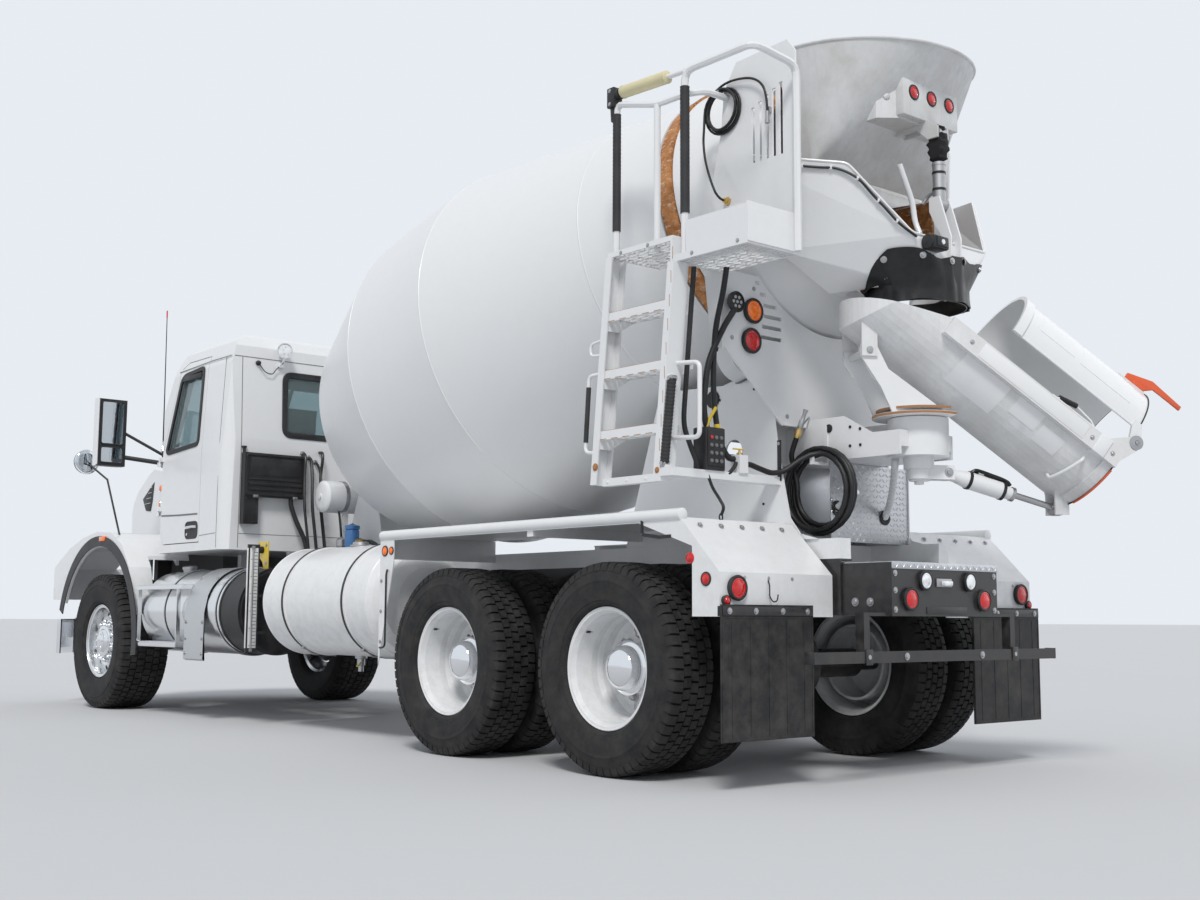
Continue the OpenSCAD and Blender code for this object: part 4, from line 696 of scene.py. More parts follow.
for side, name in BOTH:
    for x, which in ((0.0, "rear"), (MIDDLE_X, "mid")):
        p = Piece(f"tyre_pair_{which}_{name}", f"wheels_{which}_{name}", "tyre")
        for y in (0.745, 1.085):
            tyre(p, x, REAR_Z, side * y, 0.5225, 0.279, REAR_ROWS)
        p.done(f"tyres_{which}_{name}")
        p = Piece(f"hub_{which}_{name}", f"wheels_{which}_{name}", "chrome", "steel", "black", "white")
        c = (x, side * 1.04, REAR_Z)
        p.turned(c, (0, side, 0), [(0, 122), (0, 134), (8, 136), (14, 130), (16, 112), (44, 111), (50, 106), (66, 101),
                (78, 90), (86, 70), (91, 40), (92, 0)], 0, 56)
        hub_nuts(p, x, REAR_Z, side * 0.927, side, 0.019, 0.166, 10, 9, 0.036, 1)
        # Brake dust lip, valve stem and the rolled rim edge
        p.torus((x, side * 1.184, REAR_Z), LEFT, 0.2985, 0.0045, 3, 72)
        p.tube(smooth_line([(x + 0.2, side * 1.0, 0.7), (x + 0.205, side * 1.05, 0.705), (x + 0.2, side * 1.13, 0.698)],
                4), 0.0045, 1, 8)
        p.turned((x + 0.2, side * 1.125, 0.698), (0, side, 0), [(0, 0), (0, 6.5), (20, 6.5), (22, 4), (22, 0)], 2, 10)
        p.done()
    p = Piece(f"tyre_tread_front_{name}", f"wheel_front_{name}", "tyre")
    tyre(p, FRONT_X, FRONT_Z, side * 1.015, 0.5525, 0.418, FRONT_ROWS)
    p.done(f"tyre_front_{name}")
    p = Piece(f"hub_front_{name}", f"wheel_front_{name}", "chrome", "alu", "black")
    hub_nuts(p, FRONT_X, FRONT_Z, side * 1.107, side, 0.019, 0.158, 10, 18, 0.058, 0)
    p.turned((FRONT_X, side * 1.15, FRONT_Z), (0, side, 0), [(0, 124), (6, 132), (12, 128), (14, 98), (30, 88),
            (34, 80)], 0, 48)
    p.turned((FRONT_X, side * 1.184, FRONT_Z), (0, side, 0), [(-3, 81), (4, 80), (8, 74), (11, 50), (13, 0)], 0, 40)
    hub_nuts(p, FRONT_X, FRONT_Z, side * 1.193, side, 0.006, 0.06, 6, 0, 0.006, 0)
    p.torus((FRONT_X, side * 1.183, FRONT_Z), LEFT, 0.2965, 0.005, 1, 72)
    p.done()


# ---------------------------------------------------------------- cab
def cab_y(z):
    """Half the cab's width at a height."""
    return 1.045 if z < 2.0 else 1.045 - 0.0511 * (z - 2.0)


def cab_back(z):
    """Where the cab's rear wall is at a height."""
    return 4.55 - 0.01 * (z - 1.26) / 0.84 if z < 2.1 else 4.54 + 0.03 * (z - 2.1) / 0.715


SIDE_WINDOW = [(5.04, 2.12), (5.06, 2.09), (5.58, 2.06), (5.61, 2.08), (5.44, 2.63), (5.38, 2.67), (5.06, 2.69),
        (5.04, 2.67)]


def cab_details():
    """Seams, seals, handles, mirror faces, lamps and the trim of the box on the cab's back."""
    p = Piece("cab_seams", "chassis", "seam", "white")
    # Roof seam round the cab and the rear corners' seams
    z = 2.73
    for side, _ in BOTH:
        y = side * cab_y(z)
        p.band([(5.5, y, z - 0.02), (4.9, y, z), (cab_back(z) + 0.012, y, z)], 0.006, 0.0015, (0, side, 0), 0, False)
        zs = [1.275, 1.7, 2.1, 2.4, z]
        p.band([(cab_back(q) - 0.0003, side * 0.925, q) for q in zs], 0.005, 0.0015, BACK, 0, False)
        p.band([(4.665, side * cab_y(q), q) for q in zs], 0.005, 0.0015, (0, side, 0), 0, False)
        p.band([(4.68, side * 1.0452, 1.385), (4.955, side * 1.0452, 1.375)], 0.004, 0.0015, (0, side, 0), 0, False)
    p.band([(cab_back(z) - 0.0003, 0.99, z), (cab_back(z) - 0.0003, -0.99, z)], 0.006, 0.0015, BACK, 0, False)
    p.band([(cab_back(1.38), 0.925, 1.38), (cab_back(1.38), -0.925, 1.38)], 0.004, 0.0015, BACK, 0, False)
    # Rivets along the rear wall's panel edges
    for side, _ in BOTH:
        for k in range(9):
            q = 1.42 + 0.155 * k
            p.turned((cab_back(q), side * 0.895, q), BACK, [(0, 0), (0, 6), (2, 5), (3, 0)], 1, 8)
    p.done()

    p = Piece("rear_window_seal", "chassis", "plastic")
    loop = rounded([(cab_back(2.15), 0.572, 2.148), (cab_back(2.15), -0.572, 2.148), (cab_back(2.63), -0.572, 2.632),
            (cab_back(2.63), 0.572, 2.632)], 0.065, 6, True)
    p.band(loop, 0.036, 0.01, (-1, 0, -0.04), 0, True, 0.006)
    p.band(cross_panel(4.566, 0.552, -0.552, 2.168, 2.612, 0.05, 6), 0.022, 0.014, BACK)
    for y in (-0.19, 0.19):
        p.box((4.556, y - 0.014, 2.165), (4.566, y + 0.014, 2.615), 0, 0.003)
        p.box((4.55, y - 0.006, 2.33), (4.56, y + 0.006, 2.41), 0, 0.002)
    p.done()

    for side, name in BOTH:
        p = Piece(f"door_seal_{name}", f"door_{name}", "plastic", "chrome", "seam")
        path = rounded([(x, side * (cab_y(z) + 0.0005), z) for x, z in SIDE_WINDOW], 0.03, 4, True)
        p.band(path, 0.034, 0.008, (0, side, 0.05), 0, True, 0.008)
        p.box((5.07, side * 1.024, 2.62), (5.4, side * 1.0, 2.66), 0, 0.003)
        # Handle in its recess
        y = side * 1.0445
        p.band(side_panel(y, 4.99, 5.205, 1.36, 1.486, 0.045, 6), 0.01, 0.005, (0, side, 0))
        p.prism(side_panel(y, 4.992, 5.203, 1.362, 1.484, 0.043, 6), (0, side * 0.002, 0))
        p.sweep(rounded([(5.02, y, 1.445), (5.04, side * 1.068, 1.445), (5.165, side * 1.068, 1.44), (5.18, y, 1.44)],
                0.02), circle(0.012, 10, 0.6), 1)
        p.turned((5.175, side * 1.046, 1.392), (0, side, 0), [(0, 0), (0, 11), (4, 11), (5, 8), (2, 3.5), (2, 0)], 1,
                16)
        # Swage line along the door, drawn as a grey band: painted shade of the pressed crease
        p.band([(5.0, side * 1.0452, 1.545), (5.35, side * 1.0452, 1.55), (5.66, side * 1.0452, 1.56)], 0.012, 0.003,
                (0, side, 0), 2, False)
        p.done()

    for side, name in BOTH:
        p = Piece(f"mirror_faces_{name}", "chassis", "mirror", "plastic", "white")
        for z0, z1 in ((2.135, 2.48), (1.985, 2.11)):
            face = cross_panel(5.898, side * 1.295, side * 1.475, z0, z1, 0.02)
            p.prism(face, (-0.003, 0, 0))
            p.band(face, 0.01, 0.006, BACK, 1)
        # White shell wrapped round the housing's front and outer side
        shell = rounded([(5.903, side * 1.502, 1.958), (5.978, side * 1.503, 1.958), (5.978, side * 1.503, 2.503),
                (5.903, side * 1.502, 2.503)], 0.02, 4, True)
        p.prism(shell, (0, side * 0.004, 0), 2)
        p.prism(cross_panel(5.976, side * 1.268, side * 1.506, 1.958, 2.503, 0.04, 5), (0.006, 0, 0), 2)
        p.band([(5.905, side * 1.502, 1.966), (5.905, side * 1.502, 2.496)], 0.012, 0.008, BACK, 2, False)
        p.done()
        p = Piece(f"round_mirror_{name}", "hood", "mirror", "chrome")
        c = Vector((6.514, side * 1.35, 2.043))
        p.turned(c, BACK, [(-1, 97), (3, 94), (9, 70), (13, 35), (14, 0)], 0, 40)
        p.torus(c + Vector((0.001, 0, 0)), AHEAD, 0.099, 0.006, 1, 40)
        p.turned((6.542, side * 1.35, 2.043), AHEAD, [(0, 100), (12, 92), (26, 60), (32, 20), (33, 0)], 1, 40)
        p.done()

    p = Piece("antenna", "chassis", "plastic", "red", "chrome")
    for side, _ in BOTH:
        p.turned((5.805, side * 0.995, 2.094), (0.01, 0, 1), [(0, 0), (0, 20), (20, 18), (30, 10), (70, 8), (80, 5),
                (90, 5), (90, 0)], 2, 16)
    p.tube([(5.807, 0.995, 2.17), (5.815, 0.995, 2.6), (5.829, 0.995, 3.22)], 0.0045, 0, 8,
            taper=lambda t: 1.3 - 0.5 * t)
    p.tube([(5.829, 0.995, 3.215), (5.831, 0.995, 3.275)], 0.006, 1, 8)
    p.tube([(5.807, -0.995, 2.17), (5.815, -0.995, 2.6)], 0.0045, 0, 8)
    p.done()

    # Work lamp high on the cab's back, with its cable
    p = Piece("work_lamp_cab", "chassis", "chrome", "clear", "plastic", "white")
    c, face = Vector((4.498, 0.611, 2.8)), Vector((-1, 0.35, -0.12)).normalized()
    p.turned(c, face, [(-50, 0), (-48, 20), (-35, 44), (-10, 56), (14, 60), (22, 60), (22, 53), (16, 52)])
    p.turned(c, face, [(15, 53), (19, 40), (21, 20), (22, 0)], 1)
    p.tube([c + Vector((0, 0, -0.05)), c + Vector((0.012, 0, -0.075)), (4.535, 0.611, 2.7)], 0.009, 0, 8)
    p.box((4.53, 0.586, 2.672), (4.57, 0.636, 2.708), 3)
    p.turned((4.56, 0.8, 2.69), BACK, [(0, 0), (0, 20), (10, 20), (14, 13), (30, 12), (34, 6), (34, 0)], 2, 16)
    p.tube(smooth_line([(4.545, 0.79, 2.675), (4.535, 0.75, 2.625), (4.538, 0.69, 2.615), (4.54, 0.655, 2.655),
            (4.532, 0.62, 2.69)], 5), 0.004, 2, 6)
    p.done()

    # Ribs, rim and catches of the dark box, its plates left blank
    p = Piece("cab_box_trim", "chassis", "plastic", "hose", "steel")
    x = 4.476
    p.band(cross_panel(x, 0.425, 0.905, 1.675, 1.975, 0.02), 0.016, 0.008, BACK)
    for z, h in ((1.705, 0.02), (1.745, 0.02), (1.785, 0.012)):
        p.box((x - 0.007, 0.445, z), (x + 0.002, 0.885, z + h))
    p.prism(cross_panel(x, 0.455, 0.875, 1.82, 1.955, 0.02), (-0.004, 0, 0), 0, 0.0015)
    for y in (0.5, 0.83):
        p.box((x - 0.012, y - 0.02, 1.65), (x + 0.01, y + 0.02, 1.672), 2, 0.003)
    p.band(cross_panel(4.481, 0.812, 0.908, 1.465, 1.65, 0.015), 0.01, 0.006, BACK)
    p.turned((4.53, 0.905, 2.01), UP, [(-20, 0), (-20, 12), (15, 12), (20, 20), (30, 20), (34, 0)], 0, 14)
    # Ribbed conduit from the box down behind the cab
    line = smooth_line([(4.5, 0.52, 1.665), (4.495, 0.515, 1.6), (4.47, 0.48, 1.48), (4.43, 0.43, 1.34),
            (4.4, 0.415, 1.2), (4.38, 0.41, 1.06)], 12)
    p.ribbed(line, 0.017, 1, 0.1, 380)
    p.done()

    # Markers and vents
    p = Piece("cab_markers", "hood", "amber", "chrome", "vent")
    for side, _ in BOTH:
        p.box((6.3, side * 1.238, 1.375), (6.42, side * 1.256, 1.415), 0, 0.006)
        spot, face = landing("hood", (6.48, side * 1.2, 1.72), (0, -side, 0))
        p.torus(spot, face, 0.028, 0.006, 1, 24)
        p.turned(spot, face, [(0, 26), (6, 24), (11, 12), (12, 0)], 0, 24)
        # Black side grille laid on the hood, with its bars
        outline = [(6.69, 1.925), (7.06, 1.8), (6.94, 1.69), (6.78, 1.675), (6.73, 1.76)]
        rim = [landing("hood", (x, side * 1.2, z), (0, -side, 0))[0] for x, z in outline]
        p.prism([q - Vector((0, side * 0.001, 0)) for q in rim], (0, side * 0.006, 0), 2, 0.001)
        for k in range(4):
            a, b = [landing("hood", (x, side * 1.2, 1.885 - 0.045 * k), (0, -side, 0))[0]
                    for x in (6.73 + 0.012 * k, 6.8 + 0.055 * k)]
            p.tube([a + Vector((0, side * 0.007, 0)), b + Vector((0, side * 0.007, 0))], 0.004, 1, 6)
    p.done()
    p = Piece("door_markers", "chassis", "amber", "chrome")
    for side, _ in BOTH:
        c = (5.86, side * 0.975, 1.8)
        p.torus(c, (0, side, 0), 0.028, 0.006, 1, 24)
        p.turned(c, (0, side, 0), [(-30, 26), (6, 24), (11, 12), (12, 0)], 0, 24)
        # Roof markers over the windscreen
        for y in (0.3, 0.62):
            p.turned((5.18, side * y, 2.9), (0.9, 0, 0.3), [(0, 0), (0, 28), (60, 26), (100, 14), (105, 0)], 1, 16)
    p.done()


cab_details()


# ---------------------------------------------------------------- tanks, steps and what hangs behind the cab
def ring_strap(p, x, y, z, r, w, mat, t=0.003):
    """A strap of width w round a tank."""
    p.ring((x, y, z), AHEAD, w / 2, r - 0.004, r + t, mat, 72)


def side_details():
    """Step treads, tank straps and caps, the sight gauge, and the air fittings."""
    p = Piece("step_treads", "chassis", "plate", "alu")
    for side, _ in BOTH:
        # The right-hand treads are narrower
        lo = 1.105 if side < 0 else 1.002
        for x0, z in ((4.792, 0.995), (4.882, 0.565)):
            p.box((x0, side * lo, z - 0.001), (5.638, side * 1.233, z + 0.002), 0, 0.001)
            lozenges(p, (x0, min(side * lo, side * 1.233), z + 0.002), (5.638 - x0, 0, 0), (0, 1.233 - lo, 0))
            p.band([(x0 + 0.002, side * 1.2345, z - 0.018), (5.638, side * 1.2345, z - 0.018)], 0.022, 0.003,
                    (0, side, 0), 1, False)
    p.done()
    p = Piece("tank_trim", "chassis", "alu", "brush", "steel", "hose", "blue")
    for x in (4.33, 5.21):
        ring_strap(p, x, FUEL_Y, FUEL_Z, 0.321, 0.05, 0)
        for dx in (-0.03, 0.03):
            ring_strap(p, x + dx, FUEL_Y, FUEL_Z, 0.3165, 0.01, 3, 0.002)
    p.turned((5.45, FUEL_Y, 1.113), (0, 0.1, 1), [(0, 0), (0, 52), (18, 52), (20, 60), (40, 58), (46, 45), (48, 0)], 2,
            28)
    # Brushed plate wrapped over the tank, with its bolts
    arc = [(FUEL_Y + 0.3245 * math.sin(a), FUEL_Z + 0.3245 * math.cos(a))
            for a in [math.radians(-18 + 8 * k) for k in range(12)]]
    sec = arc + [(1.209, 0.79), (1.211, 0.45), (1.195, 0.44)]
    out = [(y + 0.003, z + 0.002) for y, z in sec]
    rings = [[Vector((x, y, z)) for y, z in sec + out[::-1]] for x in (4.462, 4.785)]
    p.skin(rings, 1)
    for z in (0.49, 0.6, 0.72):
        for x in (4.485, 4.762):
            p.bolt((x, 1.2145, z), LEFT, 0.009, 2)
    across, up = math.sin(0.75), math.cos(0.75)
    for x in (4.485, 4.762):
        p.bolt((x, FUEL_Y + 0.327 * across, FUEL_Z + 0.327 * up), (0, across, up), 0.009, 2)
    # Rolled seams and the blue cap of the black tank behind it
    for x in (3.968, 4.25):
        ring_strap(p, x, FUEL_Y, FUEL_Z, 0.309, 0.012, 3, 0.004)
    p.turned((3.9605, FUEL_Y, FUEL_Z), BACK, [(0, 295), (6, 290), (9, 270), (10, 240), (6, 230), (6, 0)], 3, 56)
    n = Vector((0, 0.45, 0.89))
    p.turned(Vector((4.105, FUEL_Y, FUEL_Z)) + n * 0.3065, n, [(0, 0), (0, 38), (22, 36), (24, 41), (44, 40), (50, 30),
            (51, 0)], 4, 24)
    p.done()

    p = Piece("water_tank_trim", "chassis", "hose", "white", "steel", "brass", "yellow")
    for x in (2.505, 3.275):
        ring_strap(p, x, WATER_Y, WATER_Z, 0.3665, 0.02, 0)
        p.box((x - 0.02, 1.02, 0.548), (x + 0.02, 1.06, 0.585), 2, 0.006)
        p.tube([(x, 1.035, 0.56), (x, 0.98, 0.52), (x, 0.8, 0.505)], 0.008, 2, 8)
    for x in (2.232, 3.548):
        p.turned((x, WATER_Y, WATER_Z), AHEAD, [(-7, 357), (0, 363.5), (7, 357)], 1, 72)
    p.turned((2.9, WATER_Y, 1.226), UP, [(0, 0), (0, 70), (12, 70), (14, 55), (30, 52), (34, 40), (35, 0)], 2, 28)
    p.turned((2.86, WATER_Y, 0.52), DOWN, [(0, 0), (0, 40), (25, 40), (28, 26), (70, 26), (72, 18), (110, 18),
            (110, 0)], 2, 20)
    p.tube([(2.86, WATER_Y, 0.47), (2.8, 0.9, 0.455), (2.74, 0.95, 0.45)], 0.007, 4, 8)
    p.turned((2.075, WATER_Y, WATER_Z), BACK, [(-5, 0), (-5, 50), (14, 50), (16, 36), (22, 34), (22, 0)], 2, 24)
    p.done()

    p = Piece("sight_gauge_scale", "chassis", "scale", "hose", "steel", "yellow")
    p.box((3.8455, 1.108, 0.545), (3.85, 1.17, 1.24), 0, 0.001)
    p.box((3.8515, 1.181, 0.545), (3.8685, 1.1845, 1.24), 0, 0.001)
    for k in range(28):
        z = 0.56 + 0.024 * k
        p.box((3.844, 1.112, z), (3.8458, 1.112 + (0.034 if k % 5 else 0.052), z + 0.003), 1, 0.0004)
    p.tube([(3.8405, 1.15, 0.535), (3.8405, 1.15, 1.25)], 0.006, 2)
    for z in (0.53, 1.245):
        p.box((3.832, 1.138, z - 0.01), (3.851, 1.162, z + 0.01), 2, 0.003)
    # Yellow bracket above the black tank and what is screwed to it
    p.prism([(4.1, 0.895, 1.085), (4.1, 0.895, 1.305), (4.26, 0.895, 1.305), (4.26, 0.895, 1.205), (4.18, 0.895, 1.16),
            (4.16, 0.895, 1.095)], (0, 0.01, 0), 3, 0.002)
    for x, z in ((4.125, 1.28), (4.235, 1.28), (4.125, 1.15)):
        p.bolt((x, 0.905, z), LEFT, 0.01, 2)
    p.turned((4.18, 0.906, 1.245), LEFT, [(0, 0), (0, 26), (30, 24), (34, 12), (60, 12), (62, 0)], 1, 20)
    p.done()

    # Air lines, valves and the blue filter behind the cab
    p = Piece("air_fittings", "chassis", "hose", "brass", "blue", "steel", "white")
    for dx, dy, r in ((0, 0, 0.013), (0.03, 0.05, 0.011), (-0.03, -0.06, 0.01), (0.05, -0.1, 0.012)):
        p.tube(smooth_line([(4.548, 0.36 + dy, 1.99 + dx), (4.47, 0.37 + dy, 1.96 + dx), (4.41 + dx, 0.39 + dy, 1.82),
                (4.36 + dx, 0.41 + dy, 1.6), (4.33 + dx, 0.4 + dy, 1.4), (4.3 + dx, 0.39 + dy, 1.2),
                (4.28 + dx, 0.385 + dy, 1.058)]), r, 0, 8)
    for x, y, z in ((4.548, 0.36, 1.99), (4.548, 0.41, 2.02), (4.548, 0.3, 1.96)):
        p.turned((x, y, z), BACK, [(0, 0), (0, 22), (10, 22), (12, 16), (30, 16), (32, 0)], 3, 6)
    p.turned((3.76, 0.41, 1.058), UP, [(0, 0), (0, 45), (10, 45), (12, 20), (180, 20), (180, 0)], 3, 18)
    p.turned((3.76, 0.41, 1.235), UP, [(0, 0), (0, 40), (20, 52), (150, 52), (160, 46), (165, 55), (190, 55), (195, 30),
            (210, 0)], 2, 28)
    p.turned((3.93, 0.4, 1.058), UP, [(0, 0), (0, 32), (220, 32), (225, 40), (270, 40), (280, 25), (300, 0)], 3, 20)
    p.turned((3.6, 0.4, 1.3), AHEAD, [(0, 0), (0, 22), (50, 22), (52, 30), (90, 30), (92, 22), (160, 22), (160, 0)], 1,
            16)
    p.tube(smooth_line([(3.6, 0.4, 1.3), (3.5, 0.4, 1.295), (3.4, 0.405, 1.25), (3.34, 0.405, 1.15),
            (3.33, 0.4, 1.058)]), 0.016, 0, 8)
    p.tube(smooth_line([(3.93, 0.4, 1.34), (3.95, 0.4, 1.44), (4.02, 0.37, 1.52), (4.1, 0.33, 1.55)]), 0.009, 0, 8)
    for y in (-0.25, 0.0, 0.3):
        p.ring((4.13, y, 1.66), LEFT, 0.016, 0.1185, 0.1225, 3, 48)
    p.turned((4.13, 0.449, 1.66), LEFT, [(0, 118), (8, 112), (16, 85), (22, 40), (24, 20), (34, 20), (36, 0)], 4, 40)
    p.done()


side_details()


# ---------------------------------------------------------------- fenders, lamps, mudflaps and tail box
# Lamps at the back: place, radius, how far the lens stands out from it, and colour
LAMPS = [(-0.816, 1.119, 0.907, 0.055, 0.016, "red"), (-1.148, 0.292, 0.864, 0.052, 0.014, "red"),
        (-1.148, 0.177, 0.953, 0.045, 0.014, "clear"), (-0.816, 1.19, 0.85, 0.022, 0.014, "red"),
        (-0.452, 0.617, 2.312, 0.062, 0.016, "amber"), (-0.452, 0.632, 2.157, 0.062, 0.016, "red")]
LENS = ("red", "amber", "clear", "plastic")


def round_lamp(p, c, axis, r, mat, bezel=3):
    """A domed glass in its bezel."""
    p.torus(c, axis, r * 0.93, r * 0.11 + 0.002, bezel, 36)
    p.lathe(c, axis, [(-0.002, r * 0.86), (0.004, r * 0.84), (0.006, r * 0.7), (0.004, r * 0.66), (0.008, r * 0.5),
            (0.009, r * 0.2), (0.0095, 0)], mat)


def rear_details():
    """Lamps, fender trim, mudflap hangers and the tail box's trim."""
    p = Piece("lamp_lenses", "chassis", *LENS)
    for x, y, z, r, t, look in LAMPS:
        for side, _ in BOTH:
            round_lamp(p, (x - t, side * y, z), BACK, r, LENS.index(look))
    for side, _ in BOTH:
        for x, z, r in ((-0.627, 1.044, 0.024), (-0.731, 0.947, 0.03)):
            round_lamp(p, (x, side * 1.223, z), (0, side, 0), r, 0, 3 if r > 0.025 else 0)
        for x, r in ((1.995, 0.03), (1.925, 0.022)):
            round_lamp(p, (x, side * 1.223, 1.158), (0, side, 0), r, 1)
    p.done()

    p = Piece("fender_trim", "chassis", "plastic", "steel", "white")
    for side, _ in BOTH:
        p.tube(rounded([(-0.3, side * 1.224, 1.17), (-0.3, side * 1.224, 1.254), (-0.3, side * 0.455, 1.254)], 0.015),
                0.0075, 0, 8)
        p.band([(-0.3, side * 1.2225, 1.165), (-0.42, side * 1.2225, 1.148), (-0.5, side * 1.2225, 1.15)], 0.016, 0.004,
                (0, side, 0), 0, False)
        n = Vector((-0.707, 0, 0.709))
        for y in (1.13, 0.99, 0.85, 0.71, 0.57):
            p.bolt(Vector((-0.6, side * y, 1.2035)), n, 0.009, 1)
        for y in (1.06, 0.9, 0.74):
            p.bolt((-0.8165, side * y, 0.955), BACK, 0.006, 1)
        # Vertical rod and bolts of the front plate
        p.tube(rounded([(1.962, side * 1.226, 1.045), (1.95, side * 1.24, 1.02), (1.95, side * 1.24, 0.6),
                (1.985, side * 1.232, 0.585), (2.03, side * 1.226, 0.585)], 0.02), 0.006, 0, 8)
        for z in (0.62, 0.8, 0.98):
            p.bolt((2.03, side * 1.223, z), (0, side, 0), 0.008, 1)
        # Rail's end caps
        for x, d in ((-0.5605, -1), (2.0405, 1)):
            p.turned((x, side * 1.208, 1.25), (d, 0, 0), [(0, 30.5), (4, 30), (8, 20), (9, 0)], 2, 24)
    p.done()

    p = Piece("mudflap_hangers", "chassis", "black", "steel", "rubber")
    for side, _ in BOTH:
        p.box((-0.8575, side * 0.64, 0.782), (-0.8515, side * 1.24, 0.824), 0, 0.002)
        for y in (0.68, 0.85, 1.03, 1.2):
            p.bolt((-0.8575, side * y, 0.803), BACK, 0.01, 1)
        # Long ribs pressed in the rubber, and its rolled edge
        for k in range(5):
            y = side * (0.7 + 0.12 * k)
            p.box((-0.8535, y - 0.002, 0.245), (-0.8515, y + 0.002, 0.765), 2, 0.0008)
        p.band(cross_panel(-0.852, side * 0.642, side * 1.238, 0.231, 0.775, 0.01, 3), 0.01, 0.002, BACK, 2)
        # Hook hanging above the left flap
        if side > 0:
            p.tube(rounded([(-0.817, 0.905, 0.945), (-0.826, 0.905, 0.925), (-0.826, 0.905, 0.87),
                    (-0.838, 0.895, 0.845), (-0.845, 0.875, 0.85), (-0.845, 0.868, 0.88)], 0.012), 0.0035, 0, 6)
    p.done()

    p = Piece("tail_box_trim", "chassis", "plate", "steel", "black", "clear", "yellow")
    p.box((-1.149, -0.421, 1.0355), (-0.852, 0.421, 1.039), 0, 0.001)
    lozenges(p, (-1.149, -0.421, 1.039), (0.297, 0, 0), (0, 0.842, 0))
    lozenges(p, (-1.1535, 0.421, 1.008), (0, -0.842, 0), (0, 0, 0.03), 0.026)
    p.box((-1.1535, -0.421, 1.006), (-1.1485, 0.421, 1.0405), 0, 0.002)
    for side, _ in BOTH:
        for z in (0.815, 0.905, 0.985):
            p.bolt((-1.1485, side * 0.395, z), BACK, 0.01, 1)
        for x, z in ((-0.93, 0.85), (-1.02, 0.85)):
            p.bolt((x, side * 0.4205, z), (0, side, 0), 0.014, 1)
        # Uprights and bolts of the underride bar
        for y in (0.58, 0.3):
            p.bolt((-1.1365, side * y, 0.596), BACK, 0.012, 1)
        p.box((-1.142, side * 0.556, 0.56), (-1.1355, side * 0.604, 0.632), 2, 0.003)
        p.box((-1.1365, side * 0.9495, 0.568), (-1.075, side * 0.955, 0.623), 2, 0.003)
    # Plate light on its bracket between the clear lamps
    p.box((-1.156, -0.035, 0.925), (-1.148, 0.085, 0.965), 1, 0.003)
    p.box((-1.176, -0.02, 0.93), (-1.155, 0.05, 0.955), 3, 0.006)
    p.box((-1.152, -0.16, 0.795), (-1.148, 0.16, 0.83), 2, 0.002)
    p.done()


rear_details()


# ---------------------------------------------------------------- pedestal, arm, ladder and platform
def zigzag(p, x0, x1, y, z, amp, step, h):
    """A bent bar of a grating, of height h."""
    n, half = max(2, int((x1 - x0) / step)), 0.0015
    pts = [(x0 + (x1 - x0) * k / n, y + (amp if k % 2 else -amp), z) for k in range(n + 1)]
    p.sweep(pts, [(-half, 0), (half, 0), (half, h), (-half, h)], 0, UP)


def lean(z):
    """How far the ladder's rails lean at a height."""
    return 0.1 * (1.5 - z)


